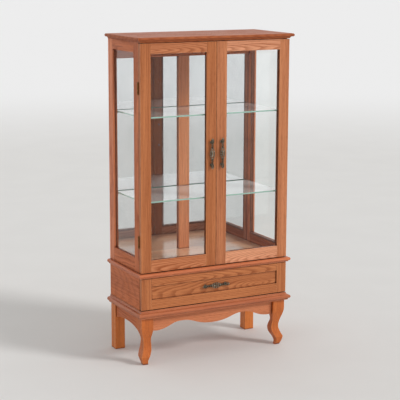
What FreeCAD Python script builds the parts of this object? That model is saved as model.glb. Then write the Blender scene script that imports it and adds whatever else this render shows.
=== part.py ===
import FreeCAD, Part
import os
import re
import Sketcher
from FreeCAD import Placement, Rotation, Vector

# Display cabinet: a glazed case with two doors over a drawer case, on a stand with cabriole front legs.
# X runs along the front, Y from the front to the back, Z up. The origin is the centre of the floor area.

# Driving sizes in millimetres.
SIZES = {
    # case
    "case_width": 700,
    "case_depth": 300,
    "drawer_case_height": 140.5,
    "display_case_height": 954.3,
    "case_side_thickness": 18,
    "fit_gap": 0.3,
    "reveal": 3,
    # stand
    "leg_height": 208,
    "front_leg_width": 55,
    "rear_leg_width": 45,
    "leg_inset": 2,
    "leg_forward": 15,
    "apron_thickness": 18,
    "apron_depth": 63,
    "front_apron_recess": 15,
    "side_apron_recess": 5,
    "glue_block_length": 80,
    "glue_block_side": 22,
    # base moulding
    "base_lip": 1.5,
    "base_quirk": 3,
    "base_cove_radius": 7,
    "base_nose_radius": 8.5,
    "base_fillet_height": 6,
    # waist moulding
    "waist_lip": 7.5,
    "waist_nose_radius": 7.5,
    "waist_fillet_height": 4,
    # top moulding
    "top_lip": 1.5,
    "top_cove_radius": 8,
    "top_nose_radius": 6.5,
    # side frames of the display case
    "side_frame_thickness": 22,
    "side_stile_width": 44,
    "side_top_rail_height": 42,
    "side_bottom_rail_height": 58,
    "side_lip_thickness": 10,
    "rebate_width": 8,
    "glass_thickness": 4,
    "glass_edge_gap": 1,
    # inside of the display case
    "floor_thickness": 13,
    "floor_setback": 3,
    "back_panel_thickness": 4,
    "lower_back_thickness": 6,
    "mirror_thickness": 4,
    "back_rail_height": 85,
    "back_rail_thickness": 12,
    "mullion_width": 51,
    "shelf_thickness": 6,
    "shelf_end_gap": 6.5,
    "shelf_front_setback": 2,
    "upper_shelf_height": 650,
    "lower_shelf_height": 298.5,
    "pin_radius": 2.5,
    "pin_hold": 9,
    "pin_reach": 11,
    "pin_edge_distance": 10,
    # doors
    "door_thickness": 18,
    "door_gap": 2.4,
    "meeting_gap": 2,
    "door_stile_width": 46.5,
    "door_top_rail_height": 43,
    "door_bottom_rail_height": 51.5,
    "door_lip_thickness": 8,
    # hinges
    "hinge_height": 50,
    "hinge_leaf_width": 22,
    "hinge_leaf_thickness": 1,
    "knuckle_radius": 2.5,
    "knuckle_side_gap": 0.5,
    "knuckle_height": 16.5,
    "hinge_pin_radius": 1.25,
    "running_clearance": 0.05,
    "pin_finial_radius": 2.4,
    "upper_hinge_drop": 181,
    "lower_hinge_rise": 130,
    "hinge_screw_spacing": 32,
    # catches
    "catch_length": 40,
    "catch_depth": 14,
    "catch_height": 12,
    "catch_inset": 6,
    "strike_thickness": 1,
    "strike_length": 30,
    "strike_height": 14,
    # screws
    "screw_radius": 1.25,
    "screw_head_radius": 2.5,
    "screw_length": 13,
    "screw_clearance": 0.1,
    "machine_screw_radius": 1.6,
    "machine_head_radius": 3.6,
    "machine_head_height": 2,
    "post_engagement": 7,
    # pulls
    "pull_length": 131,
    "pull_screw_spacing": 96,
    "pull_standoff": 10,
    "pull_bar_radius": 3.3,
    "pull_tip_radius": 2,
    "pull_post_radius": 4.2,
    "pull_foot_radius": 6.5,
    "pull_foot_height": 2.5,
    "pull_leaf_length": 44,
    "pull_leaf_width": 23,
    "pull_leaf_thickness": 8,
    "pull_scroll_length": 34,
    "pull_scroll_width": 13,
    "pull_scroll_thickness": 7.4,
    "pull_collar_radius": 4.4,
    "pull_collar_length": 5,
    "pull_collar_distance": 26.5,
    "door_pull_height": 885,
    # drawer
    "drawer_top_rail_height": 35,
    "drawer_bottom_rail_height": 41.5,
    "drawer_panel_thickness": 6,
    "drawer_panel_recess": 6,
    "drawer_groove_depth": 6,
    "box_height": 108,
    "box_rise": 14,
    "box_side_gap": 2,
    "box_side_thickness": 14,
    "box_end_thickness": 12,
    "box_length": 274,
    "box_bottom_thickness": 5,
    "box_bottom_rise": 9,
    "box_bottom_groove": 5,
    "runner_height": 16,
    "runner_rise": 46,
    "runner_groove_depth": 6,
    "runner_play": 0.5,
    "runner_end_gap": 6,
}

# Places worked out from the sizes, each by an expression.
PLACES = {
    "half_width": "case_width / 2",
    # heights
    "base_thickness": "base_quirk + base_cove_radius + 2 * base_nose_radius + base_fillet_height",
    "base_top": "leg_height + base_thickness",
    "waist_bottom": "base_top + drawer_case_height",
    "waist_thickness": "2 * waist_nose_radius + waist_fillet_height",
    "waist_top": "waist_bottom + waist_thickness",
    "display_top": "waist_top + display_case_height",
    "top_thickness": "top_cove_radius + 2 * top_nose_radius",
    "floor_top": "waist_top + floor_thickness",
    "upper_shelf_top": "waist_top + upper_shelf_height",
    "lower_shelf_top": "waist_top + lower_shelf_height",
    "door_bottom": "waist_top + reveal",
    "door_top": "display_top - reveal",
    # reaches of the mouldings and the pulls past the door faces
    "base_overhang": "base_lip + base_cove_radius + base_nose_radius",
    "waist_overhang": "waist_lip + waist_nose_radius",
    "top_overhang": "top_lip + top_cove_radius + top_nose_radius",
    "pull_reach": "pull_standoff + max(pull_leaf_thickness / 2; pull_collar_radius)",
    "front_reach": "max(pull_reach; base_overhang; waist_overhang; top_overhang)",
    # depths
    "front": "(door_gap + door_thickness + front_reach - case_depth) / 2",
    "back": "front + case_depth",
    "door_back": "front - door_gap",
    "door_face": "door_back - door_thickness",
    "door_shoulder": "door_face + door_lip_thickness",
    "back_panel_face": "back - back_panel_thickness",
    "mirror_face": "back_panel_face - mirror_thickness",
    "back_rail_face": "mirror_face - back_rail_thickness",
    "lower_back_face": "back - lower_back_thickness",
    # stand
    "leg_outer": "half_width - leg_inset",
    "leg_face": "front - leg_forward",
    "front_leg_inner": "leg_outer - front_leg_width",
    "front_leg_back": "leg_face + front_leg_width",
    "rear_leg_inner": "leg_outer - rear_leg_width",
    "rear_leg_front": "back - rear_leg_width",
    "front_apron_face": "leg_face + front_apron_recess",
    "front_apron_back": "front_apron_face + apron_thickness",
    "side_apron_outer": "leg_outer - side_apron_recess",
    "side_apron_inner": "side_apron_outer - apron_thickness",
    "rear_apron_face": "back - side_apron_recess - apron_thickness",
    "apron_bottom": "leg_height - apron_depth",
    # display case
    "frame_inner": "half_width - side_frame_thickness",
    "frame_shoulder": "half_width - side_lip_thickness",
    "front_stile_back": "front + side_stile_width",
    "rear_stile_front": "back - side_stile_width",
    "side_glass_inner": "frame_shoulder - glass_thickness",
    "side_opening_bottom": "waist_top + side_bottom_rail_height",
    "side_opening_top": "display_top - side_top_rail_height",
    "shelf_half": "frame_inner - shelf_end_gap",
    "shelf_front": "front + shelf_front_setback",
    "shelf_back": "back_rail_face - fit_gap",
    # doors: the right one, whose left edge is at the meeting gap
    "door_inner": "meeting_gap / 2",
    "inner_stile_edge": "door_inner + door_stile_width",
    "outer_stile_edge": "half_width - door_stile_width",
    "door_middle": "(inner_stile_edge + outer_stile_edge) / 2",
    "door_opening_width": "outer_stile_edge - inner_stile_edge",
    "door_opening_bottom": "door_bottom + door_bottom_rail_height",
    "door_opening_top": "door_top - door_top_rail_height",
    "door_glass_back": "door_shoulder + glass_thickness",
    "pull_axis": "door_inner + door_stile_width / 2",
    # hinges and catches
    "knuckle_x": "half_width + knuckle_side_gap + knuckle_radius",
    "knuckle_y": "front - door_gap / 2",
    "upper_hinge_bottom": "door_top - upper_hinge_drop - hinge_height / 2",
    "lower_hinge_bottom": "door_bottom + lower_hinge_rise - hinge_height / 2",
    "leaf_edge": "half_width - hinge_leaf_width",
    "case_leaf_face": "front - hinge_leaf_thickness",
    "door_leaf_face": "door_back + hinge_leaf_thickness",
    "strike_face": "door_back + strike_thickness",
    "catch_face": "strike_face + fit_gap",
    "catch_inner": "door_inner + catch_inset",
    "strike_inner": "catch_inner + (catch_length - strike_length) / 2",
    # drawer
    "drawer_bottom": "base_top + reveal",
    "drawer_top": "waist_bottom - reveal",
    "drawer_stile_edge": "half_width - door_stile_width",
    "drawer_opening_bottom": "drawer_bottom + drawer_bottom_rail_height",
    "drawer_opening_top": "drawer_top - drawer_top_rail_height",
    "drawer_middle": "(drawer_opening_bottom + drawer_opening_top) / 2",
    "panel_face": "door_face + drawer_panel_recess",
    "panel_back": "panel_face + drawer_panel_thickness",
    "case_inner": "half_width - case_side_thickness",
    "box_outer": "case_inner - box_side_gap",
    "box_inner": "box_outer - box_side_thickness",
    "box_bottom": "base_top + box_rise",
    "box_top": "box_bottom + box_height",
    "box_back": "door_back + box_length",
    "box_floor_bottom": "box_bottom + box_bottom_rise",
    "box_floor_top": "box_floor_bottom + box_bottom_thickness",
    "runner_bottom": "box_bottom + runner_rise",
    "runner_top": "runner_bottom + runner_height",
    "runner_inner": "box_outer - runner_groove_depth + runner_play",
}

# Outline of a front leg, as shares of its width (outwards) and of its height. The same template shapes
# the front and the outer side. The inner sides are cut to two others.
KNEE_TO_TOE_SHARES = ((0, 1), (0, 0.9), (-0.01, 0.78), (-0.16, 0.62), (-0.305, 0.48), (-0.316, 0.365),
                      (-0.21, 0.274), (-0.05, 0.18))
TOE_TO_FLOOR_SHARES = ((-0.05, 0.18), (-0.1, 0.115), (-0.26, 0))
INNER_SIDE_SHARES = ((0.32, 0), (0.27, 0.18), (0.09, 0.274), (0.03, 0.365), (0.07, 0.48), (0.09, 0.55),
                     (0.03, 0.65), (0, 0.73), (0, 0.86), (0, 1))
INNER_BACK_SHARES = ((0.42, 0), (0.3, 0.15), (0.07, 0.24), (0, 0.345), (0.1, 0.45), (0.27, 0.53),
                     (0.34, 0.6), (0.2, 0.68), (0.03, 0.74), (0, 0.86), (0, 1))

# Lower edges of the aprons, as shares of the half length and of the depth, from the middle to the end.
FRONT_SCALLOP_SHARES = ((0, 1), (0.137, 0.955), (0.256, 0.83), (0.38, 0.64), (0.51, 0.572), (0.64, 0.65),
                        (0.73, 0.83), (0.82, 0.965), (1, 0.985))
SIDE_SCALLOP_SHARES = ((0, 0.735), (0.45, 0.765), (0.78, 0.87), (1, 0.985))

doc = FreeCAD.newDocument("display_cabinet")
sheet = doc.addObject("Spreadsheet::Sheet", "sizes")
places = doc.addObject("App::VarSet", "places")
probe = doc.addObject("App::VarSet", "probe")
probe.addProperty("App::PropertyFloat", "reading")
nodes = []


def bound(text):
    """Expression text with the sheet's or the places' name before each size."""
    def owner(match):
        word = match.group(0)
        if word in SIZES:
            return "sizes." + word
        if word in PLACES:
            return "places." + word
        return word
    return re.sub(r"[a-z][a-z_]*", owner, text)


def measure(text):
    """Number that an expression of sizes comes to."""
    probe.setExpression("reading", bound(text))
    probe.recompute()
    return probe.reading


def fill_sheet():
    """Puts the driving sizes in the sheet and works out the places."""
    for row, (name, size) in enumerate(SIZES.items(), start=1):
        sheet.set(f"A{row}", name)
        sheet.set(f"B{row}", str(size))
        sheet.setAlias(f"B{row}", name)
    doc.recompute()
    for name in PLACES:
        places.addProperty("App::PropertyFloat", name)
    for name, text in PLACES.items():
        places.setExpression(name, bound(text))
    doc.recompute()


def add(kind, name):
    """New document object."""
    return doc.addObject(kind, name)


def put(thing, x="0", y="0", z="0", turn=None):
    """Binds the place of an object, with an optional turn about its own origin."""
    if turn is not None:
        thing.Placement = Placement(Vector(), turn)
    for axis, text in (("x", x), ("y", y), ("z", z)):
        thing.setExpression("Placement.Base." + axis, bound(text))
    return thing


def piece(thing, name):
    """Marks an object as a sub-part under its own name."""
    thing.Label = name
    nodes.append(thing)
    return thing


def block(name, x, y, z):
    """Box between two X, two Y and two Z expressions."""
    box = add("Part::Box", name)
    for side, (low, high) in (("Length", x), ("Width", y), ("Height", z)):
        box.setExpression(side, bound(f"({high}) - ({low})"))
    return put(box, x[0], y[0], z[0])


def rod(name, radius, length, x, y, z, turn=None):
    """Cylinder from a point, along Z unless it is turned."""
    cylinder = add("Part::Cylinder", name)
    cylinder.setExpression("Radius", bound(radius))
    cylinder.setExpression("Height", bound(length))
    return put(cylinder, x, y, z, turn)


def fuse(name, things):
    """One solid made of several that touch."""
    joined = add("Part::MultiFuse", name)
    joined.Shapes = things
    return joined


def group(name, things):
    """Several separate solids under one name."""
    together = add("Part::Compound", name)
    together.Links = things
    return together


def cut(name, base, tools):
    """Base without the tools."""
    left = add("Part::Cut", name)
    left.Base = base
    left.Tool = tools[0] if len(tools) == 1 else group(name + "_tools", tools)
    return left


def mirrored(name, thing):
    """Copy on the other side of the cabinet's middle plane."""
    copy = add("Part::Mirroring", name)
    copy.Source = thing
    copy.Normal = Vector(1, 0, 0)
    return copy


def both_sides(name, things):
    """Each thing and its mirror image, as one group."""
    return group(name, list(things) + [mirrored(thing.Name + "_left", thing) for thing in things])


def outline(sketch, steps):
    """Closed outline in a sketch. A step is (across, up) or (across, up, radius, turn), where the last two
    say that the edge leading to the step is a quarter round, which turns left or right."""
    spots = [Vector(measure(step[0]), measure(step[1]), 0) for step in steps]
    ends = []
    for number, step in enumerate(steps):
        start, stop = spots[number - 1], spots[number]
        if len(step) == 2:
            sketch.addGeometry(Part.LineSegment(start, stop))
            ends.append((1, 2))
            continue
        radius, turn = measure(step[2]), step[3]
        chord = stop - start
        middle = (start + stop) / 2
        normal = Vector(-chord.y, chord.x, 0).normalize()
        rise = max(radius ** 2 - chord.Length ** 2 / 4, 0) ** 0.5
        side = 1 if turn == "left" else -1
        bulge = middle - normal * side * (radius - rise)
        sketch.addGeometry(Part.Arc(start, bulge, stop))
        ends.append((1, 2) if turn == "left" else (2, 1))
    for number, step in enumerate(steps):
        following = (number + 1) % len(steps)
        sketch.addConstraint(Sketcher.Constraint("Coincident", number, ends[number][1],
                                                 following, ends[following][0]))
        for kind, text, reading in (("DistanceX", step[0], spots[number].x),
                                    ("DistanceY", step[1], spots[number].y)):
            mark = sketch.addConstraint(Sketcher.Constraint(kind, -1, 1, number, ends[number][1], reading))
            sketch.setExpression(f"Constraints[{mark}]", bound(text))
        if len(step) == 4:
            mark = sketch.addConstraint(Sketcher.Constraint("Radius", number, measure(step[2])))
            sketch.setExpression(f"Constraints[{mark}]", bound(step[2]))
    return sketch


ACROSS = {"XY_Plane": "z", "YZ_Plane": "x", "XZ_Plane": "y"}


def milled(name, plane, layers, middle):
    """Body of straight-milled wood: each layer is an outline in an origin plane and a length across that
    plane, centred on the expression middle."""
    body = add("PartDesign::Body", name)
    origin_plane = [feature for feature in body.Origin.OriginFeatures if feature.Role == plane][0]
    for number, (steps, length) in enumerate(layers):
        sketch = body.newObject("Sketcher::SketchObject", f"{name}_section_{number}")
        sketch.AttachmentSupport = (origin_plane, [""])
        sketch.MapMode = "FlatFace"
        outline(sketch, steps)
        pad = body.newObject("PartDesign::Pad", f"{name}_pad_{number}")
        pad.Profile = sketch
        pad.SideType = "Symmetric"
        pad.setExpression("Length", bound(length))
        doc.recompute()
    return put(body, **{ACROSS[plane]: middle})


def extruded(name, sketch, direction, length):
    """Solid run of a section along X or Y."""
    run = add("Part::Extrusion", name)
    run.Base = sketch
    run.DirMode = "Custom"
    run.Dir = direction
    run.Solid = True
    run.setExpression("LengthFwd", bound(length))
    return run


def moulded_board(name, bottom, thickness, overhang, edge):
    """Board whose front and sides carry a moulding, mitred at the front corners. The edge's steps are the
    reach past the case and the height over the board's underside, from the bottom to the top. A step may
    end with the radius and the turn of the quarter round that leads to it."""
    along = add("Sketcher::SketchObject", name + "_front_section")
    put(along, x=f"0 - half_width - {overhang}", turn=Rotation(Vector(1, 1, 1), 120))
    steps = [("back", bottom)]
    steps += [(f"door_face - ({out})", f"{bottom} + {up}", *bend) for out, up, *bend in edge]
    steps += [("back", f"{bottom} + {thickness}")]
    outline(along, steps)
    front_run = extruded(name + "_front_run", along, Vector(1, 0, 0), f"case_width + 2 * {overhang}")

    across = add("Sketcher::SketchObject", name + "_side_section")
    put(across, y=f"door_face - {overhang}", turn=Rotation(Vector(1, 0, 0), 90))
    far_side = f"0 - half_width - 2 * {overhang}"
    other_turn = {"left": "right", "right": "left"}
    steps = [(far_side, bottom)]
    for out, up, *bend in edge:
        turned_bend = [other_turn.get(part, part) for part in bend]
        steps.append((f"half_width + {out}", f"{bottom} + {up}", *turned_bend))
    steps += [(far_side, f"{bottom} + {thickness}")]
    outline(across, steps)
    right_run = extruded(name + "_right_run", across, Vector(0, 1, 0), f"back - door_face + {overhang}")
    board = add("Part::MultiCommon", name)
    board.Shapes = [front_run, right_run, mirrored(name + "_left_run", right_run)]
    return piece(board, name)


def smooth(points):
    """Edge along a smooth curve through the points."""
    curve = Part.BSplineCurve()
    curve.interpolate(points)
    return curve.toShape()


def own_shape(name, shape):
    """Object that holds a shape worked out here from the sizes."""
    thing = add("Part::Feature", name)
    thing.Shape = shape
    return thing


def front_leg():
    """Right front leg: a square blank sawn to a template from the front and from the side."""
    width, height = measure("front_leg_width"), measure("leg_height")
    outer, face = measure("leg_outer"), measure("leg_face")

    def template(spot, inner_shares):
        """Face of one template. spot turns an offset outwards and a height into a point."""
        outer_run = smooth([spot(out * width, up * height) for out, up in KNEE_TO_TOE_SHARES])
        toe_run = smooth([spot(out * width, up * height) for out, up in TOE_TO_FLOOR_SHARES])
        inner_run = smooth([spot((back - 1) * width, up * height) for back, up in inner_shares])
        corners = (outer_run.Vertexes[0].Point, toe_run.Vertexes[-1].Point,
                   inner_run.Vertexes[0].Point, inner_run.Vertexes[-1].Point)
        sole = Part.makeLine(corners[1], corners[2])
        head = Part.makeLine(corners[3], corners[0])
        return Part.Face(Part.Wire(Part.__sortEdges__([outer_run, toe_run, sole, inner_run, head])))

    from_front = template(lambda out, up: Vector(outer + out, face, up), INNER_SIDE_SHARES)
    from_side = template(lambda out, up: Vector(outer - width, face - out, up), INNER_BACK_SHARES)
    sawn = from_front.extrude(Vector(0, width, 0)).common(from_side.extrude(Vector(width, 0, 0)))
    return own_shape("front_leg_right", sawn.Solids[0])


def scalloped(name, shares, half_length, depth, bottom_line, thickness, spot):
    """Apron with a shaped lower edge. spot turns a distance along and a height into a point."""
    down = [(along * half_length, bottom_line - share * depth) for along, share in shares]
    edge = [(-along, up) for along, up in reversed(down[1:])] + down
    run = smooth([spot(along, up) for along, up in edge])
    top = [spot(half_length, bottom_line), spot(-half_length, bottom_line)]
    first, last = spot(*edge[0]), spot(*edge[-1])
    rest = [Part.makeLine(last, top[0]), Part.makeLine(top[0], top[1]), Part.makeLine(top[1], first)]
    return own_shape(name, Part.Face(Part.Wire([run] + rest)).extrude(thickness))


def build_stand():
    """Legs, aprons, glue blocks and the base board that sits on them."""
    right_leg = piece(front_leg(), "front_leg_right")
    piece(mirrored("front_leg_left", right_leg), "front_leg_left")
    rear_leg = block("rear_leg_right", ("rear_leg_inner", "leg_outer"), ("rear_leg_front", "back"),
                     ("0", "leg_height"))
    piece(both_sides("rear_legs", [rear_leg]), "rear_legs")

    leg_height, depth = measure("leg_height"), measure("apron_depth")
    thickness = measure("apron_thickness")
    front_face = measure("front_apron_face")
    piece(scalloped("apron_front", FRONT_SCALLOP_SHARES, measure("front_leg_inner"), depth, leg_height,
                    Vector(0, thickness, 0), lambda along, up: Vector(along, front_face, up)), "apron_front")
    middle = measure("(front_leg_back + rear_leg_front) / 2")
    outer = measure("side_apron_outer")
    half_run = measure("(rear_leg_front - front_leg_back) / 2")
    side = scalloped("side_apron", SIDE_SCALLOP_SHARES, half_run, depth, leg_height,
                     Vector(-thickness, 0, 0), lambda along, up: Vector(outer, middle + along, up))
    piece(both_sides("side_aprons", [side]), "side_aprons")
    piece(block("apron_rear", ("0 - rear_leg_inner", "rear_leg_inner"),
                ("rear_apron_face", "rear_apron_face + apron_thickness"), ("apron_bottom", "leg_height")),
          "apron_rear")

    half, under = "glue_block_length / 2", ("leg_height - glue_block_side", "leg_height")
    across = ("0 - " + half, half)
    centre = "(front + back) / 2"
    behind_front = ("front_apron_back", "front_apron_back + glue_block_side")
    before_rear = ("rear_apron_face - glue_block_side", "rear_apron_face")
    glue = [block("front_glue_block", across, behind_front, under),
            block("rear_glue_block", across, before_rear, under)]
    side_block = block("side_glue_block", ("side_apron_inner - glue_block_side", "side_apron_inner"),
                       (f"{centre} - {half}", f"{centre} + {half}"), under)
    glue += [side_block, mirrored("side_glue_block_left", side_block)]
    piece(group("glue_blocks", glue), "glue_blocks")

    nose = "base_lip + base_cove_radius"
    fillet, middle_up = "base_fillet_height", "base_fillet_height + base_nose_radius"
    nose_top = "base_fillet_height + 2 * base_nose_radius"
    moulded_board("base_board", "leg_height", "base_thickness", "base_overhang", [
        (nose, "0"),
        (nose, fillet),
        ("base_overhang", middle_up, "base_nose_radius", "right"),
        (nose, nose_top, "base_nose_radius", "right"),
        ("base_lip", nose_top + " + base_cove_radius", "base_cove_radius", "left"),
        ("base_lip", "base_thickness"),
    ])


def build_drawer_case():
    """Sides, runners and the waist board over the drawer."""
    side = block("drawer_case_side", ("case_inner", "half_width"), ("front", "back"),
                 ("base_top", "waist_bottom"))
    piece(both_sides("drawer_case_sides", [side]), "drawer_case_sides")
    runner = block("drawer_runner", ("runner_inner", "case_inner"),
                   ("front + runner_end_gap", "lower_back_face - runner_end_gap"),
                   ("runner_bottom", "runner_top"))
    piece(both_sides("drawer_runners", [runner]), "drawer_runners")
    middle_up = "waist_fillet_height + waist_nose_radius"
    moulded_board("waist_board", "waist_bottom", "waist_thickness", "waist_overhang", [
        ("waist_lip", "0"),
        ("waist_lip", "waist_fillet_height"),
        ("waist_overhang", middle_up, "waist_nose_radius", "right"),
        ("waist_lip", "waist_thickness", "waist_nose_radius", "right"),
    ])


def countersunk(name, x, y, z, turn, extra):
    """Wood screw with a countersunk head whose top is at the point, or with extra room its drill."""
    shank = rod(name + "_shank", "screw_radius + " + extra, "screw_length", x, y, z, turn)
    head = add("Part::Cone", name + "_head")
    head.setExpression("Radius1", bound("screw_head_radius + " + extra))
    head.setExpression("Radius2", bound("screw_radius + " + extra))
    head.setExpression("Height", bound("hinge_leaf_thickness"))
    put(head, x, y, z, turn)
    return fuse(name, [shank, head])


# Lower ends of a door's hinges, and the top faces of the glass shelves.
HINGES = (("upper", "upper_hinge_bottom"), ("lower", "lower_hinge_bottom"))
SHELVES = (("upper", "upper_shelf_top"), ("lower", "lower_shelf_top"))
INTO_CASE = Rotation(Vector(1, 0, 0), -90)
INTO_DOOR = Rotation(Vector(1, 0, 0), 90)
LEVEL_OUT = Rotation(Vector(0, 1, 0), 90)


def hinge_screws(name, hinges, y, turn, extra):
    """The two screws of one leaf of each hinge, or their drills."""
    screws = []
    for place, bottom in hinges:
        for number, sign in enumerate(("-", "+")):
            level = f"{bottom} + hinge_height / 2 {sign} hinge_screw_spacing / 2"
            screws.append(countersunk(f"{name}_{place}_{number}", "leaf_edge + hinge_leaf_width / 2", y,
                                      level, turn, extra))
    return screws


def shelf_supports(name, radius, length, start):
    """The right-hand rods under both shelves: the pins themselves, or their drills."""
    rods = []
    for place, height in SHELVES:
        for spot, y in (("front", "front + side_stile_width / 2"),
                        ("rear", "shelf_back - pin_edge_distance")):
            rods.append(rod(f"{name}_{place}_{spot}", radius, length, start, y,
                            f"{height} - shelf_thickness - pin_radius", LEVEL_OUT))
    return rods


def build_side_frames():
    """Stiles, rails, glass and beads of the display case's two sides."""
    x_full = ("frame_inner", "half_width")
    drills = shelf_supports("pin_drill", "pin_radius + running_clearance", "pin_hold + fit_gap",
                            "frame_inner")
    stiles = []
    for name, solid_end, glass_end, sign in (("front", "front", "front_stile_back", "-"),
                                             ("rear", "back", "rear_stile_front", "+")):
        steps = [(x_full[0], solid_end), (x_full[1], solid_end), (x_full[1], glass_end),
                 ("frame_shoulder", glass_end), ("frame_shoulder", f"{glass_end} {sign} rebate_width"),
                 (x_full[0], f"{glass_end} {sign} rebate_width")]
        body = milled(f"side_{name}_stile_body", "XY_Plane", [(steps, "display_case_height")],
                      "waist_top + display_case_height / 2")
        tools = [drill for drill in drills if name in drill.Name]
        if name == "front":
            tools += hinge_screws("case_drill", HINGES, "case_leaf_face", INTO_CASE, "screw_clearance")
        stiles.append(cut(f"side_{name}_stile", body, tools))
    piece(both_sides("side_front_stiles", stiles[:1]), "side_front_stiles")
    piece(both_sides("side_rear_stiles", stiles[1:]), "side_rear_stiles")

    length = "rear_stile_front - front_stile_back"
    for name, edge, opening, sign in (("top", "display_top", "side_opening_top", "+"),
                                      ("bottom", "waist_top", "side_opening_bottom", "-")):
        outer = [("frame_shoulder", edge), ("half_width", edge), ("half_width", opening),
                 ("frame_shoulder", opening)]
        shoulder = f"{opening} {sign} rebate_width"
        inner = [("frame_inner", edge), ("frame_shoulder", edge), ("frame_shoulder", shoulder),
                 ("frame_inner", shoulder)]
        rail = milled(f"side_{name}_rail", "XZ_Plane",
                      [(outer, length), (inner, length + " + 2 * rebate_width")],
                      "(front_stile_back + rear_stile_front) / 2")
        piece(both_sides(f"side_{name}_rails", [rail]), f"side_{name}_rails")

    lap = "(rebate_width - glass_edge_gap)"
    pane = block("side_pane", ("side_glass_inner", "frame_shoulder"),
                 (f"front_stile_back - {lap}", f"rear_stile_front + {lap}"),
                 (f"side_opening_bottom - {lap}", f"side_opening_top + {lap}"))
    piece(both_sides("side_glass_panes", [pane]), "side_glass_panes")
    x = ("frame_inner", "side_glass_inner")
    low, high = "side_opening_bottom - rebate_width", "side_opening_top + rebate_width"
    near, far = "front_stile_back - rebate_width", "rear_stile_front + rebate_width"
    between = ("front_stile_back", "rear_stile_front")
    beads = [block("side_bead_front", x, (near, between[0]), (low, high)),
             block("side_bead_rear", x, (between[1], far), (low, high)),
             block("side_bead_low", x, between, (low, "side_opening_bottom")),
             block("side_bead_high", x, between, ("side_opening_top", high))]
    piece(both_sides("side_glass_beads", beads), "side_glass_beads")


def build_display_case():
    """Floor, back, mirrors, shelves and the moulded top."""
    build_side_frames()
    inside = ("0 - frame_inner", "frame_inner")
    close_inside = ("fit_gap - frame_inner", "frame_inner - fit_gap")
    piece(block("floor_panel", close_inside, ("front + floor_setback", "back_panel_face"),
                ("waist_top", "floor_top")), "floor_panel")
    rail_bottom = "display_top - back_rail_height"
    rail_y = ("back_rail_face", "mirror_face")
    piece(block("back_top_rail", inside, rail_y, (rail_bottom, "display_top")), "back_top_rail")
    piece(block("back_mullion", ("0 - mullion_width / 2", "mullion_width / 2"), rail_y,
                ("floor_top", rail_bottom)), "back_mullion")
    mirror = block("mirror_pane", ("glass_edge_gap / 2", "frame_inner - fit_gap"),
                   ("mirror_face", "back_panel_face"), ("floor_top", "display_top - glass_edge_gap"))
    piece(both_sides("back_mirrors", [mirror]), "back_mirrors")
    upper = block("upper_back_panel", close_inside, ("back_panel_face", "back"),
                  ("waist_top", "display_top"))
    lower = block("lower_back_panel", ("fit_gap - case_inner", "case_inner - fit_gap"),
                  ("lower_back_face", "back"), ("base_top", "waist_bottom"))
    piece(group("back_panels", [upper, lower]), "back_panels")

    for name, height in SHELVES:
        piece(block(f"shelf_{name}", ("0 - shelf_half", "shelf_half"), ("shelf_front", "shelf_back"),
                    (f"{height} - shelf_thickness", height)), f"shelf_{name}")
    pins = shelf_supports("pin", "pin_radius", "pin_hold + pin_reach", "frame_inner - pin_reach")
    piece(both_sides("shelf_pins", pins), "shelf_pins")

    cove_top = "top_cove_radius"
    nose = "top_lip + top_cove_radius"
    moulded_board("top_board", "display_top", "top_thickness", "top_overhang", [
        ("top_lip", "0"),
        (nose, cove_top, "top_cove_radius", "left"),
        ("top_overhang", "top_cove_radius + top_nose_radius", "top_nose_radius", "right"),
        (nose, "top_thickness", "top_nose_radius", "right"),
    ])


def knuckles(name, spans):
    """Hinge knuckles over the spans, without their bores."""
    return [rod(f"{name}_knuckle_{number}", "knuckle_radius", f"({high}) - ({low})", "knuckle_x",
                "knuckle_y", low)
            for number, (low, high) in enumerate(spans)]


def hinge_leaf(name, bottom, y, spans, drills):
    """Leaf of a hinge with its knuckles and the tabs that join them, bored for the pin and the screws."""
    plate = block(name + "_plate", ("leaf_edge", "half_width"), y, (bottom, bottom + " + hinge_height"))
    tabs = [block(f"{name}_tab_{number}", ("half_width", "knuckle_x"), y, span)
            for number, span in enumerate(spans)]
    whole = fuse(name + "_whole", [plate] + tabs + knuckles(name, spans))
    bore = rod(name + "_bore", "hinge_pin_radius + running_clearance", "hinge_height", "knuckle_x",
               "knuckle_y", bottom)
    return cut(name, whole, [bore] + drills)


def build_case_hardware():
    """Case leaves, pins, catches and the screws in the case."""
    leaves, pins = [], []
    for name, bottom in HINGES:
        top = f"{bottom} + hinge_height"
        spans = [(bottom, f"{bottom} + knuckle_height"), (f"{top} - knuckle_height", top)]
        drills = hinge_screws("case_leaf_drill", [(name, bottom)], "case_leaf_face", INTO_CASE,
                              "running_clearance")
        leaves.append(hinge_leaf(f"{name}_case_leaf", bottom, ("case_leaf_face", "front"), spans, drills))
        shaft = rod(f"{name}_hinge_pin_shaft", "hinge_pin_radius", "hinge_height", "knuckle_x",
                    "knuckle_y", bottom)
        finials = [rod(f"{name}_hinge_finial_{number}", "pin_finial_radius", "hinge_leaf_thickness",
                       "knuckle_x", "knuckle_y", z)
                   for number, z in enumerate((f"{bottom} - hinge_leaf_thickness", top))]
        pins.append(fuse(f"{name}_hinge_pin", [shaft] + finials))
    piece(both_sides("hinge_case_leaves", leaves), "hinge_case_leaves")
    piece(both_sides("hinge_pins", pins), "hinge_pins")

    catch = block("catch", ("catch_inner", "catch_inner + catch_length"),
                  ("catch_face", "catch_face + catch_depth"),
                  ("display_top - catch_height", "display_top"))
    piece(both_sides("magnetic_catches", [catch]), "magnetic_catches")
    screws = hinge_screws("case_screw", HINGES, "case_leaf_face", INTO_CASE, "0")
    piece(both_sides("case_hinge_screws", screws), "case_hinge_screws")


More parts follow.
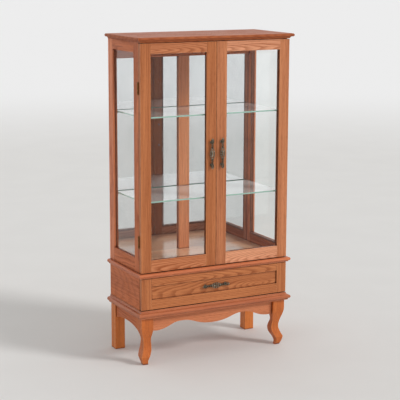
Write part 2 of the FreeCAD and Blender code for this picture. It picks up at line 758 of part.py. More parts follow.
def swelling(name, along, level, length, width, thickness):
    """Swelling of a pull: two cones base to base, flattened at the front and at the back."""
    cones = []
    for side, start, first, second in (("near", f"0 - ({length}) / 2", "pull_tip_radius", f"({width}) / 2"),
                                       ("far", "0", f"({width}) / 2", "pull_tip_radius")):
        cone = add("Part::Cone", f"{name}_{side}_cone")
        cone.setExpression("Radius1", bound(first))
        cone.setExpression("Radius2", bound(second))
        cone.setExpression("Height", bound(f"({length}) / 2"))
        cones.append(put(cone, start, turn=LEVEL_OUT))
    slab = block(name + "_slab", (f"0 - ({length})", length),
                 (f"0 - ({thickness}) / 2", f"({thickness}) / 2"), (f"0 - ({width})", width))
    flattened = add("Part::MultiCommon", name)
    flattened.Shapes = [fuse(name + "_cones", cones), slab]
    return put(flattened, along, level)


def pull(name, x, y, z, upright):
    """Cast pull: a bar on two posts, with a leaf between two collars in its middle and a scroll
    at each end. It stands on the plane Y = y, whose front is towards -Y."""
    level = "0 - pull_standoff"
    reach = "pull_screw_spacing / 2"
    parts = [rod(name + "_bar", "pull_bar_radius", "pull_screw_spacing", f"0 - {reach}", level, "0",
                 LEVEL_OUT)]
    parts.append(swelling(name + "_leaf", "0", level, "pull_leaf_length", "pull_leaf_width",
                          "pull_leaf_thickness"))
    for side, sign in (("first", "0 -"), ("second", "0 +")):
        parts.append(swelling(f"{name}_{side}_scroll", f"{sign} (pull_length - pull_scroll_length) / 2",
                              level, "pull_scroll_length", "pull_scroll_width", "pull_scroll_thickness"))
        parts.append(rod(f"{name}_{side}_collar", "pull_collar_radius", "pull_collar_length",
                         f"{sign} pull_collar_distance - pull_collar_length / 2", level, "0", LEVEL_OUT))
        for part, radius, length in (("post", "pull_post_radius", "pull_standoff"),
                                     ("foot", "pull_foot_radius", "pull_foot_height")):
            parts.append(rod(f"{name}_{side}_{part}", radius, length, f"{sign} {reach}", "0", "0",
                             INTO_DOOR))
    bores = [rod(f"{name}_bore_{number}", "machine_screw_radius + screw_clearance", "post_engagement",
                 f"{sign} {reach}", "0", "0", INTO_DOOR) for number, sign in enumerate(("0 -", "0 +"))]
    whole = cut(name, fuse(name + "_casting", parts), bores)
    turn = Rotation(Vector(0, 1, 0), 90) if upright else Rotation()
    return put(whole, x, y, z, turn)


def machine_screws(name, inside, outside, x, z, along, extra):
    """The two screws of a pull, whose heads bear on Y = inside, or their drills."""
    screws = []
    for number, sign in enumerate(("-", "+")):
        spot = f"{sign} pull_screw_spacing / 2"
        at_x = f"{x} {spot}" if along == "x" else x
        at_z = f"{z} {spot}" if along == "z" else z
        shank = rod(f"{name}_{number}_shank", f"machine_screw_radius + {extra}",
                    f"{inside} - ({outside}) + post_engagement - fit_gap", at_x, inside, at_z, INTO_DOOR)
        if extra != "0":
            screws.append(shank)
            continue
        head = rod(f"{name}_{number}_head", "machine_head_radius", "machine_head_height", at_x, inside,
                   at_z, INTO_CASE)
        screws.append(fuse(f"{name}_{number}", [shank, head]))
    return screws


def build_doors():
    """Right door, and the left one as its mirror image."""
    parts = {}
    height, middle_z = "door_top - door_bottom", "(door_top + door_bottom) / 2"
    shafts = machine_screws("door_pull_drill", "door_back", "door_face", "pull_axis",
                            "door_pull_height", "z", "screw_clearance")
    leaf_drills = hinge_screws("door_drill", HINGES, "door_leaf_face", INTO_DOOR, "screw_clearance")
    for name, solid_end, glass_end, sign, drills in (
            ("inner", "door_inner", "inner_stile_edge", "-", shafts),
            ("outer", "half_width", "outer_stile_edge", "+", leaf_drills)):
        shoulder = f"{glass_end} {sign} rebate_width"
        steps = [(solid_end, "door_face"), (glass_end, "door_face"), (glass_end, "door_shoulder"),
                 (shoulder, "door_shoulder"), (shoulder, "door_back"), (solid_end, "door_back")]
        body = milled(f"door_{name}_stile_body", "XY_Plane", [(steps, height)], middle_z)
        parts[f"{name}_stile"] = cut(f"door_{name}_stile", body, drills)

    for name, edge, opening, sign in (("top", "door_top", "door_opening_top", "+"),
                                      ("bottom", "door_bottom", "door_opening_bottom", "-")):
        shoulder = f"{opening} {sign} rebate_width"
        lip = [("door_face", edge), ("door_shoulder", edge), ("door_shoulder", opening),
               ("door_face", opening)]
        lap = [("door_shoulder", edge), ("door_back", edge), ("door_back", shoulder),
               ("door_shoulder", shoulder)]
        parts[f"{name}_rail"] = milled(f"door_{name}_rail", "YZ_Plane",
                                       [(lip, "door_opening_width"),
                                        (lap, "door_opening_width + 2 * rebate_width")], "door_middle")

    lap = "(rebate_width - glass_edge_gap)"
    parts["glass"] = block("door_pane", (f"inner_stile_edge - {lap}", f"outer_stile_edge + {lap}"),
                           ("door_shoulder", "door_glass_back"),
                           (f"door_opening_bottom - {lap}", f"door_opening_top + {lap}"))
    y = ("door_glass_back", "door_back")
    low, high = "door_opening_bottom - rebate_width", "door_opening_top + rebate_width"
    left, right = "inner_stile_edge - rebate_width", "outer_stile_edge + rebate_width"
    between = ("inner_stile_edge", "outer_stile_edge")
    parts["beads"] = group("door_beads", [
        block("door_bead_inner", (left, "inner_stile_edge"), y, (low, high)),
        block("door_bead_outer", ("outer_stile_edge", right), y, (low, high)),
        block("door_bead_low", between, y, (low, "door_opening_bottom")),
        block("door_bead_high", between, y, ("door_opening_top", high))])

    parts["pull"] = pull("door_pull", "pull_axis", "door_face", "door_pull_height", True)
    leaves = []
    for name, bottom in HINGES:
        span = (f"{bottom} + knuckle_height + fit_gap",
                f"{bottom} + hinge_height - knuckle_height - fit_gap")
        drills = hinge_screws("door_leaf_drill", [(name, bottom)], "door_leaf_face", INTO_DOOR,
                              "running_clearance")
        leaves.append(hinge_leaf(f"{name}_door_leaf", bottom, ("door_back", "door_leaf_face"), [span],
                                 drills))
    parts["hinge_leaves"] = group("door_hinge_leaves", leaves)
    parts["strike_plate"] = block("door_strike", ("strike_inner", "strike_inner + strike_length"),
                                  ("door_back", "strike_face"), ("door_top - strike_height", "door_top"))
    screws = hinge_screws("door_screw", HINGES, "door_leaf_face", INTO_DOOR, "0")
    screws += machine_screws("door_pull_screw", "door_back", "door_face", "pull_axis",
                             "door_pull_height", "z", "0")
    parts["screws"] = group("door_screws", screws)
    for name, thing in parts.items():
        piece(mirrored(f"left_door_{name}", thing), f"left_door_{name}")
        piece(thing, f"right_door_{name}")


def build_drawer():
    """Framed front with a sunk panel, and the box behind it."""
    panel_groove = ("panel_face - fit_gap / 2", "panel_back + fit_gap / 2")
    inner, bottom_of_groove = "drawer_stile_edge", "drawer_stile_edge + drawer_groove_depth"
    steps = [(inner, "door_face"), ("half_width", "door_face"), ("half_width", "door_back"),
             (inner, "door_back"), (inner, panel_groove[1]), (bottom_of_groove, panel_groove[1]),
             (bottom_of_groove, panel_groove[0]), (inner, panel_groove[0])]
    stile = milled("drawer_front_stile", "XY_Plane", [(steps, "drawer_top - drawer_bottom")],
                   "(drawer_top + drawer_bottom) / 2")
    piece(both_sides("drawer_front_stiles", [stile]), "drawer_front_stiles")
    for name, edge, opening, sign in (("top", "drawer_top", "drawer_opening_top", "+"),
                                      ("bottom", "drawer_bottom", "drawer_opening_bottom", "-")):
        deep = f"{opening} {sign} drawer_groove_depth"
        steps = [("door_face", edge), ("door_back", edge), ("door_back", opening),
                 (panel_groove[1], opening), (panel_groove[1], deep), (panel_groove[0], deep),
                 (panel_groove[0], opening),
                 ("door_face", opening)]
        rail = milled(f"drawer_front_{name}_rail", "YZ_Plane", [(steps, "2 * drawer_stile_edge")], "0")
        piece(rail, f"drawer_front_{name}_rail")

    through = machine_screws("drawer_pull_drill", "door_back + box_end_thickness", "panel_face", "0",
                             "drawer_middle", "x", "screw_clearance")
    lap = "(drawer_groove_depth - fit_gap)"
    board = block("drawer_panel_board", (f"0 - drawer_stile_edge - {lap}", f"drawer_stile_edge + {lap}"),
                  ("panel_face", "panel_back"),
                  (f"drawer_opening_bottom - {lap}", f"drawer_opening_top + {lap}"))
    piece(cut("drawer_front_panel", board, through), "drawer_front_panel")

    # Each side is grooved outside for its runner and inside for the bottom.
    groove_x = "box_outer - runner_groove_depth"
    notch_x = "box_inner + box_bottom_groove"
    low, high = "runner_bottom - runner_play", "runner_top + fit_gap"
    steps = [("box_inner", "box_bottom"), ("box_outer", "box_bottom"), ("box_outer", low), (groove_x, low),
             (groove_x, high), ("box_outer", high), ("box_outer", "box_top"), ("box_inner", "box_top"),
             ("box_inner", "box_floor_top"), (notch_x, "box_floor_top"), (notch_x, "box_floor_bottom"),
             ("box_inner", "box_floor_bottom")]
    side = milled("drawer_box_side", "XZ_Plane", [(steps, "box_length")], "(door_back + box_back) / 2")
    piece(both_sides("drawer_box_sides", [side]), "drawer_box_sides")

    end = "door_back + box_end_thickness"
    notch_y = end + " - box_bottom_groove"
    steps = [("door_back", "box_bottom"), (end, "box_bottom"), (end, "box_floor_bottom"),
             (notch_y, "box_floor_bottom"), (notch_y, "box_floor_top"), (end, "box_floor_top"),
             (end, "box_top"), ("door_back", "box_top")]
    body = milled("drawer_box_front_body", "YZ_Plane", [(steps, "2 * box_inner")], "0")
    again = machine_screws("drawer_box_drill", end, "panel_face", "0", "drawer_middle", "x",
                           "screw_clearance")
    piece(cut("drawer_box_front", body, again), "drawer_box_front")
    piece(block("drawer_box_back", ("0 - box_inner", "box_inner"),
                ("box_back - box_end_thickness", "box_back"), ("box_floor_top", "box_top")),
          "drawer_box_back")
    reach = "(box_bottom_groove - fit_gap)"
    piece(block("drawer_box_bottom", (f"0 - box_inner - {reach}", f"box_inner + {reach}"),
                (f"{end} - {reach}", "box_back"), ("box_floor_bottom", "box_floor_top")),
          "drawer_box_bottom")

    piece(pull("drawer_pull", "0", "panel_face", "drawer_middle", False), "drawer_pull")
    screws = machine_screws("drawer_pull_screw", end, "panel_face", "0", "drawer_middle", "x", "0")
    piece(group("drawer_screws", screws), "drawer_screws")


def check_and_write():
    """Stops if anything failed, then writes each sub-part."""
    doc.recompute()
    for thing in doc.Objects:
        if "Invalid" in thing.State or "Error" in thing.State:
            raise RuntimeError(f"{thing.Name} failed: {thing.State}")
    os.makedirs("parts", exist_ok=True)
    for thing in nodes:
        shape = thing.Shape
        if shape.isNull() or not shape.isValid() or not shape.Solids:
            raise RuntimeError(f"{thing.Label} has no valid solid")
        shape.exportStep(f"parts/{thing.Label}.step")
        print(f"{thing.Label}: {len(shape.Solids)} solids, {shape.Volume / 1000:.1f} cm3")
    print(f"{len(nodes)} sub-parts")


fill_sheet()
build_stand()
build_drawer_case()
build_display_case()
build_case_hardware()
build_doors()
build_drawer()
check_and_write()
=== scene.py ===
"""Glazed display cabinet on cabriole legs, dressed for rendering.

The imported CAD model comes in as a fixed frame. Each sub-assembly is a class that eases
the edges of its boards, gives every piece its finish, and adds the cast pulls.
"""
from __future__ import annotations

import logging
import math
from dataclasses import dataclass
from enum import Enum
from functools import reduce
from typing import Mapping, NamedTuple, Sequence, Union

import bmesh
import bpy
from mathutils import Matrix, Vector


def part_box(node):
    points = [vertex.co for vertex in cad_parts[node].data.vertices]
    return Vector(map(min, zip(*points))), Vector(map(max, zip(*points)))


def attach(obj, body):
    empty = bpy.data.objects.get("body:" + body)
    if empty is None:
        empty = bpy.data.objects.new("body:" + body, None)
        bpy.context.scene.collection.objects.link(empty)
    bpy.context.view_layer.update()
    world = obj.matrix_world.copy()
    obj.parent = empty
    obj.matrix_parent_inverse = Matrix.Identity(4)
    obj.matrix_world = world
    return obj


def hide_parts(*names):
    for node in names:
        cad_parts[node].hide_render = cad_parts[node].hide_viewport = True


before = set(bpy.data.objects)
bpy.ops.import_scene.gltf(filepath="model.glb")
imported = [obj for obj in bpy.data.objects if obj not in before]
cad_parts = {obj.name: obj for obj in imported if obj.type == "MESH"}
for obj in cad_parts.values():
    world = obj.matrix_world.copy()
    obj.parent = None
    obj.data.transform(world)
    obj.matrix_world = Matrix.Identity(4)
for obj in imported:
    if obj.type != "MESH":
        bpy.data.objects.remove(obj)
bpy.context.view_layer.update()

LOG = logging.getLogger("display_cabinet")
MM = 0.001

Socket = bpy.types.NodeSocket
Sockets = bpy.types.bpy_prop_collection
Node = bpy.types.Node
Tree = bpy.types.NodeTree
Material = bpy.types.Material
Object = bpy.types.Object
Pair = tuple[float, float]
Point = tuple[float, float, float]
Colour = tuple[float, float, float, float]
Feed = Union[Socket, float, Point, Colour]


def shown(*channels: int) -> Colour:
    """Turn a colour as a screen shows it into a linear one.

    Args:
        channels: Red, green and blue, 0 to 255.

    Returns:
        The linear colour, with an alpha of 1.
    """
    shares = (channel / 255.0 for channel in channels)
    return (*(s / 12.92 if s <= 0.04045 else ((s + 0.055) / 1.055) ** 2.4 for s in shares), 1.0)


def around(count: int, first: float = 0.0) -> list[float]:
    """Give evenly spaced angles round a circle, the first of them some steps on."""
    return [math.tau * (step + first) / count for step in range(count)]


class Grain(Enum):
    """Which way the grain of a board runs."""

    ACROSS = "left to right"
    DEEP = "front to back"
    UPRIGHT = "up and down"
    TURNING = "left to right in front, front to back at the ends"


# The frame's axes along a board, across it and through it, for each run of the grain.
BOARD_AXES = {Grain.ACROSS: (0, 2, 1), Grain.DEEP: (1, 2, 0), Grain.UPRIGHT: (2, 0, 1)}
END_FACING = 0.6


class Side(Enum):
    """The two doors, by the side of the cabinet that they hang on."""

    LEFT = "left"
    RIGHT = "right"


class Layer(NamedTuple):
    """A layer of noise: its cells a metre, its detail, the range that shows and its share."""

    cells: Point
    detail: float
    low: float = 0.0
    high: float = 1.0
    share: float = 1.0


# ---- node trees


class Graph:
    """A node tree that is being filled, with short calls for the nodes in it."""

    def __init__(self, tree: Tree) -> None:
        """Keep the tree that the nodes go into."""
        self.tree = tree

    def feed(self, socket: Socket, value: Feed) -> None:
        """Link a socket to an input, or set a plain value on it.

        Args:
            socket: The input.
            value: An output socket, a number, a vector or a colour.
        """
        if isinstance(value, Socket):
            self.tree.links.new(value, socket)
        else:
            socket.default_value = value

    def node(
        self, kind: str, inputs: Mapping[Union[str, int], Feed] | None = None, **settings: object
    ) -> Node:
        """Add a node.

        Args:
            kind: Blender's name for the kind of node.
            inputs: What feeds each input, by its name or number.
            settings: Properties of the node.

        Returns:
            The node.
        """
        made = self.tree.nodes.new(kind)
        for name, value in settings.items():
            setattr(made, name, value)
        for name, value in (inputs or {}).items():
            self.feed(made.inputs[name], value)
        return made

    def math(self, operation: str, first: Feed, second: Feed = 0.0) -> Socket:
        """Add one step of arithmetic, by Blender's name for it."""
        return self.node("ShaderNodeMath", {0: first, 1: second}, operation=operation).outputs[0]

    def plus(self, *terms: Feed) -> Socket:
        """Add numbers, from the first to the last."""
        return reduce(lambda total, term: self.math("ADD", total, term), terms)

    def times(self, *factors: Feed) -> Socket:
        """Multiply numbers, from the first to the last."""
        return reduce(lambda total, factor: self.math("MULTIPLY", total, factor), factors)

    def minus(self, first: Feed, second: Feed) -> Socket:
        """Take one number from another."""
        return self.math("SUBTRACT", first, second)

    def vector(self, operation: str, first: Feed, second: Feed) -> Socket:
        """Add one step of vector arithmetic, whose second is a number for SCALE."""
        inputs = {0: first, "Scale" if operation == "SCALE" else 1: second}
        return self.node("ShaderNodeVectorMath", inputs, operation=operation).outputs[0]

    def split(self, vector: Feed) -> Sockets:
        """Split a vector into its three numbers."""
        return self.node("ShaderNodeSeparateXYZ", {0: vector}).outputs

    def spread(self, value: Feed, low: float, high: float) -> Socket:
        """Turn the range from low to high into a smooth 0 to 1."""
        inputs = {"Value": value, "From Min": low, "From Max": high}
        return self.node("ShaderNodeMapRange", inputs, interpolation_type="SMOOTHSTEP").outputs[0]

    def noise(self, vector: Feed, layer: Layer) -> Socket:
        """Add a layer's smooth noise as it comes, about 0.3 to 0.7."""
        cells = self.vector("MULTIPLY", vector, layer.cells)
        inputs = {"Vector": cells, "Scale": 1.0, "Detail": layer.detail}
        return self.node("ShaderNodeTexNoise", inputs).outputs[0]

    def layer(self, vector: Feed, layer: Layer) -> Socket:
        """Add a layer's noise, with the range that shows spread to 0 to 1."""
        return self.spread(self.noise(vector, layer), layer.low, layer.high)

    def mix(self, first: Feed, second: Feed, share: Feed) -> Socket:
        """Mix two colours, with this share of the second."""
        inputs = {0: share, 6: first, 7: second}
        return self.node("ShaderNodeMix", inputs, data_type="RGBA").outputs[2]

    def group(self, tree: Tree, inputs: Mapping[str, Feed]) -> Sockets:
        """Place a node group and give its outputs."""
        return self.node("ShaderNodeGroup", inputs, node_tree=tree).outputs

    def surface(self) -> Sockets:
        """Give the surface's own normals and its pointiness."""
        return self.node("ShaderNodeNewGeometry").outputs

    def place(self) -> Socket:
        """Give the place on the piece, in metres of the part's frame."""
        return self.node("ShaderNodeTexCoord").outputs["Object"]

    def turned(self, grain: Grain, middle: Point = (0.0, 0.0, 0.0)) -> Socket:
        """Give the place on a board with its first axis along the grain.

        Args:
            grain: Which way the grain runs.
            middle: The place that counts as the board's middle.

        Returns:
            The turned vector.
        """
        parts = self.split(self.vector("SUBTRACT", self.place(), middle))

        def ordered(run: Grain) -> Socket:
            """Join the three numbers again, the one along the grain first."""
            inputs = {slot: parts[axis] for slot, axis in enumerate(BOARD_AXES[run])}
            return self.node("ShaderNodeCombineXYZ", inputs).outputs[0]

        if grain is not Grain.TURNING:
            return ordered(grain)
        facing = self.split(self.surface()["Normal"])
        at_end = self.math("GREATER_THAN", self.math("ABSOLUTE", facing[0]), END_FACING)
        inputs = {0: at_end, 4: ordered(Grain.ACROSS), 5: ordered(Grain.DEEP)}
        return self.node("ShaderNodeMix", inputs, data_type="VECTOR").outputs[1]


def open_group(
    name: str, inputs: Mapping[str, str], outputs: Mapping[str, str]
) -> tuple[Graph, Sockets, Sockets]:
    """Start a node group with named sockets.

    Args:
        name: The group's name.
        inputs: Each input's name and its kind, such as Float.
        outputs: Each output's name and its kind.

    Returns:
        The group's graph, what it is given and what it has to feed.
    """
    tree = bpy.data.node_groups.new(name, "ShaderNodeTree")
    for in_out, sockets in (("INPUT", inputs), ("OUTPUT", outputs)):
        for socket, kind in sockets.items():
            tree.interface.new_socket(socket, in_out=in_out, socket_type="NodeSocket" + kind)
    graph = Graph(tree)
    return graph, graph.node("NodeGroupInput").outputs, graph.node("NodeGroupOutput").inputs


@dataclass(frozen=True)
class BoardGrain:
    """The grain of oak: growth rings about a pith, streaks, bands, drift and pores."""

    seed_step: Point = (3.17, 1.93, 2.41)
    warp: Layer = Layer((2.2, 9.0, 9.0), 1.0, share=30.0 * MM)
    flutter: Layer = Layer((11.0, 60.0, 60.0), 2.0, share=6.0 * MM)
    rings_a_metre: float = 165.0
    ring_start: Pair = (0.0, 0.14)
    ring_end: Pair = (0.75, 0.12)
    streaks: Layer = Layer((5.0, 170.0, 170.0), 3.0, 0.36, 0.68, 0.22)
    bands: Layer = Layer((1.7, 70.0, 70.0), 2.0, 0.34, 0.66, 0.20)
    drift: Layer = Layer((1.1, 8.0, 8.0), 1.0, 0.3, 0.7, 0.24)
    pores: Layer = Layer((45.0, 1100.0, 1100.0), 1.0, 0.56, 0.72)
    pore_colour: Colour = shown(70, 34, 18)
    pore_tint: float = 0.6
    pore_share: float = 0.35
    pore_share_in_rings: float = 0.4
    pore_depth: float = 0.8
    streak_depth: float = 0.2
    rough: float = 0.36
    streak_rough: float = 0.10
    pore_rough: float = 0.2

    def group(self) -> Tree:
        """Build the group.

        Returns:
            The group. Its vector runs along the grain first, in metres from the middle of
            the board. Pith gives how fast the pith leans away along the board, and where
            it lies across and behind the face: near the middle it draws arches, and far
            to one side straight lines.
        """
        graph, given, result = open_group(
            "board_grain",
            {
                "Vector": "Vector", "Seed": "Float", "Pith": "Vector",
                "Light": "Color", "Dark": "Color", "Figure": "Float",
            },
            {"Color": "Color", "Height": "Float", "Roughness": "Float"},
        )
        plus, times = graph.plus, graph.times
        shift = graph.vector("SCALE", self.seed_step, given["Seed"])
        place = graph.vector("ADD", given["Vector"], shift)
        along, aside, depth = graph.split(given["Vector"])
        lean, pith_aside, pith_depth = graph.split(given["Pith"])
        warp = times(graph.noise(place, self.warp), self.warp.share)
        flutter = times(graph.noise(place, self.flutter), self.flutter.share)
        across = graph.minus(plus(aside, warp), pith_aside)
        behind = plus(depth, times(along, lean), plus(pith_depth, warp))
        reach = graph.math("SQRT", plus(times(across, across), times(behind, behind)))
        ring = graph.math("FRACT", times(plus(reach, flutter), self.rings_a_metre))
        rings = times(graph.spread(ring, *self.ring_start), graph.spread(ring, *self.ring_end))
        streaks = graph.layer(place, self.streaks)
        pores = graph.layer(place, self.pores)
        dark = plus(
            times(rings, given["Figure"]),
            times(streaks, self.streaks.share),
            times(graph.layer(place, self.bands), self.bands.share),
            times(graph.layer(place, self.drift), self.drift.share),
        )
        wood = graph.mix(given["Light"], given["Dark"], dark)
        open_pore = graph.mix(given["Dark"], self.pore_colour, self.pore_tint)
        in_rings = plus(self.pore_share, times(rings, self.pore_share_in_rings))
        height = graph.minus(1.0, times(pores, self.pore_depth))
        height = graph.minus(height, times(streaks, self.streak_depth))
        rough = plus(self.rough, times(streaks, self.streak_rough), times(pores, self.pore_rough))
        graph.feed(result["Color"], graph.mix(wood, open_pore, times(pores, in_rings)))
        graph.feed(result["Height"], height)
        graph.feed(result["Roughness"], rough)
        return graph.tree


@dataclass(frozen=True)
class EdgeWearAndHighlight:
    """A mask of the edges that hands and cloths have rubbed; on oak it also paints the highlights
    of lit edges.
    """

    samples: int = 4
    edge: Pair = (0.01, 0.16)
    patches: Layer = Layer((28.0, 28.0, 28.0), 3.0, 0.32, 0.62)

    def group(self) -> Tree:
        """Build the group.

        Returns:
            The group, with the width of the rubbed line and how much of it shows, which on oak is
            also a painted highlight.
        """
        graph, given, result = open_group(
            "edge_wear_and_highlight",
            {"Vector": "Vector", "Width": "Float", "Amount": "Float"},
            {"Mask": "Float"},
        )
        rounded = graph.node("ShaderNodeBevel", {"Radius": given["Width"]}, samples=self.samples)
        normals = {0: rounded.outputs[0], 1: graph.surface()["True Normal"]}
        same = graph.node("ShaderNodeVectorMath", normals, operation="DOT_PRODUCT")
        edge = graph.spread(graph.minus(1.0, same.outputs["Value"]), *self.edge)
        patches = graph.layer(given["Vector"], self.patches)
        graph.feed(result["Mask"], graph.times(edge, patches, given["Amount"]))
        return graph.tree


@dataclass(frozen=True)
class JointShade:
    """A mask of joints, corners and recesses: painted shade on the oak, patina in the hollows of
    the metal.
    """

    samples: int = 6
    shut: Pair = (0.16, 0.58)

    def group(self) -> Tree:
        """Build the group.

        Returns:
            The group, with how far from a corner the shade reaches.
        """
        graph, given, result = open_group("joint_shade", {"Reach": "Float"}, {"Mask": "Float"})
        reach = {"Distance": given["Reach"]}
        free = graph.node("ShaderNodeAmbientOcclusion", reach, samples=self.samples)
        shut = graph.minus(1.0, free.outputs["AO"])
        graph.feed(result["Mask"], graph.spread(shut, *self.shut))
        return graph.tree


@dataclass(frozen=True)
class PolishHaze:
    """The uneven sheen of a wiped surface."""

    wide: Layer = Layer((1.0, 1.0, 1.0), 3.0, share=0.65)
    fine: Layer = Layer((6.0, 6.0, 2.0), 2.0, share=0.35)
    shows: Pair = (0.38, 0.66)

    def group(self) -> Tree:
        """Build the group.

        Returns:
            The group, with the size of the wipes in cells a metre.
        """
        inputs = {"Vector": "Vector", "Scale": "Float"}
        graph, given, result = open_group("polish_haze", inputs, {"Haze": "Float"})
        cells = graph.vector("SCALE", given["Vector"], given["Scale"])
        wide = graph.times(graph.noise(cells, self.wide), self.wide.share)
        fine = graph.times(graph.noise(cells, self.fine), self.fine.share)
        graph.feed(result["Haze"], graph.spread(graph.plus(wide, fine), *self.shows))
        return graph.tree


BOARD_GRAIN = BoardGrain().group()
EDGE_WEAR_AND_HIGHLIGHT = EdgeWearAndHighlight().group()
JOINT_SHADE = JointShade().group()
POLISH_HAZE = PolishHaze().group()


# ---- finishes


class Skin(Graph):
    """The graph of a material, open for its finish to fill."""

    def __init__(self, name: str) -> None:
        """Make an empty material, with a Principled shader joined to its output.

        Args:
            name: The material's name.
        """
        self.material = bpy.data.materials.new(name)
        self.material.use_nodes = True
        self.material.node_tree.nodes.clear()
        super().__init__(self.material.node_tree)
        self.shader = self.node("ShaderNodeBsdfPrincipled")
        self.output = self.node("ShaderNodeOutputMaterial", {"Surface": self.shader.outputs[0]})

    def set(self, **values: Feed) -> None:
        """Feed the shader's inputs, by their names with _ for a space."""
        for name, value in values.items():
            self.feed(self.shader.inputs[name.replace("_", " ")], value)

    def bump(self, height: Feed, strength: float, distance: float) -> None:
        """Raise the surface by a height of 0 to 1 times a distance."""
        inputs = {"Height": height, "Strength": strength, "Distance": distance}
        self.set(Normal=self.node("ShaderNodeBump", inputs).outputs[0])

    def grained(self, vector: Feed, **values: Feed) -> Sockets:
        """Place the grain of oak, with its other inputs by name."""
        return self.group(BOARD_GRAIN, {"Vector": vector, **values})

    def worn_and_highlit(self, vector: Feed, width: float, amount: float) -> Socket:
        """Place the mask of rubbed edges, which on oak are also painted highlights."""
        inputs = {"Vector": vector, "Width": width, "Amount": amount}
        return self.group(EDGE_WEAR_AND_HIGHLIGHT, inputs)["Mask"]

    def joints(self, reach: float) -> Socket:
        """Place the mask of joints and recesses: painted shade on the oak, patina on the metal."""
        return self.group(JOINT_SHADE, {"Reach": reach})["Mask"]

    def hazed(self, vector: Feed, scale: float) -> Socket:
        """Place the haze of a wiped surface."""
        return self.group(POLISH_HAZE, {"Vector": vector, "Scale": scale})["Haze"]

    def rough(self, mask: Socket, least: Feed, more: float) -> None:
        """Set the roughness to its least plus a share of a mask."""
        self.set(Roughness=self.plus(least, self.times(mask, more)))


@dataclass(frozen=True)
class Oak:
    """Stained and lacquered oak, with painted shade in its joints and recesses. The rubbed edges,
    lightened also as painted highlights, take a width and an amount; relief takes a strength and a
    height.
    """

    light: Colour
    dark: Colour
    # Colour of rubbed edges, which also serves as painted highlights.
    worn_and_highlit: Colour
    # Colour of the painted shade in joints, corners and recesses, out to the given reach.
    painted_shade: Colour = shown(84, 28, 10)
    coat: float = 0.05
    coat_rough: float = 0.22
    gloss: float = 0.32
    painted_shade_share: float = 0.9
    painted_shade_reach: float = 10.0 * MM
    wear_and_highlight: Pair = (2.6 * MM, 0.9)
    haze_scale: float = 9.0
    haze_rough: float = 0.08
    relief: Pair = (0.35, 0.25 * MM)

    def material(self, board: Board, seed: float) -> Material:
        """Make the material of one board.

        Args:
            board: The board.
            seed: Where in the tree it was cut.

        Returns:
            The material.
        """
        skin = Skin("oak_" + board.node)
        low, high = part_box(board.node)
        vector = skin.turned(board.grain, tuple((a + b) / 2.0 for a, b in zip(low, high)))
        wood = skin.grained(
            vector, Seed=seed, Pith=board.pith,
            Light=self.light, Dark=self.dark, Figure=board.figure,
        )
        # The rubbed-edge mask lightens edges both as wear and as painted highlights.
        wear_and_highlight = skin.worn_and_highlit(vector, *self.wear_and_highlight)
        # The joint mask paints shade into corners and recesses.
        painted_shade = skin.times(skin.joints(self.painted_shade_reach), self.painted_shade_share)
        colour = skin.mix(wood["Color"], self.worn_and_highlit, wear_and_highlight)
        skin.set(Base_Color=skin.mix(colour, self.painted_shade, painted_shade), Specular_IOR_Level=self.gloss)
        skin.set(Coat_Weight=self.coat, Coat_Roughness=self.coat_rough)
        skin.rough(skin.hazed(vector, self.haze_scale), wood["Roughness"], self.haze_rough)
        skin.bump(wood["Height"], *self.relief)
        return skin.material


class Finish:
    """A finish that covers a whole node. Its kind comes first in its materials' names."""

    kind: str

    def fill(self, skin: Skin) -> None:
        """Fill an empty material; each finish has its own way."""
        raise NotImplementedError

    def material(self, name: str) -> Material:
        """Make a material of this finish.

        Args:
            name: What it covers.

        Returns:
            The material.
        """
        skin = Skin(self.kind + "_" + name)
        self.fill(skin)
        return skin.material


@dataclass(frozen=True)
class BackBoard(Finish):
    """Thin printed board behind the mirrors."""

    kind: str = "board"
    face: Colour = shown(196, 146, 102)
    shade: Colour = shown(164, 112, 74)
    fibres: Layer = Layer((14.0, 240.0, 240.0), 3.0, 0.32, 0.70, 0.45)
    haze_share: float = 0.15
    haze_scale: float = 2.0
    rough: Pair = (0.62, 0.2)
    relief: Pair = (0.2, 0.15 * MM)

    def fill(self, skin: Skin) -> None:
        """Fill the material.

        Args:
            skin: The open material.
        """
        vector = skin.turned(Grain.UPRIGHT)
        fibres = skin.layer(vector, self.fibres)
        haze = skin.times(skin.hazed(vector, self.haze_scale), self.haze_share)
        mixed = skin.plus(skin.times(fibres, self.fibres.share), haze)
        skin.set(Base_Color=skin.mix(self.face, self.shade, mixed))
        skin.rough(fibres, *self.rough)
        skin.bump(fibres, *self.relief)


@dataclass(frozen=True)
class Lacquer(Finish):
    """The floor of the display case: oak boards under a thick glossy lacquer, their colours
    lightened past the oak's own as painted light for the dim case floor.
    """

    kind: str = "lacquer"
    # Far paler than oak: painted light for the case floor.
    light: Colour = shown(255, 213, 176)
    dark: Colour = shown(234, 162, 123)
    seed: float = 13.0
    pith: Point = (0.02, 0.3, 0.05)
    figure: float = 0.3
    haze_scale: float = 7.0
    rough: Pair = (0.16, 0.10)
    coat_rough: float = 0.18
    coat_bend: float = 2.1
    relief: Pair = (0.12, 0.15 * MM)

    def fill(self, skin: Skin) -> None:
        """Fill the material.

        Args:
            skin: The open material.
        """
        vector = skin.turned(Grain.ACROSS)
        wood = skin.grained(
            vector, Seed=self.seed, Pith=self.pith,
            Light=self.light, Dark=self.dark, Figure=self.figure,
        )
        skin.set(Base_Color=wood["Color"], Specular_IOR_Level=0.0)
        skin.set(Coat_Weight=1.0, Coat_Roughness=self.coat_rough, Coat_IOR=self.coat_bend)
        skin.rough(skin.hazed(vector, self.haze_scale), *self.rough)
        skin.bump(wood["Height"], *self.relief)


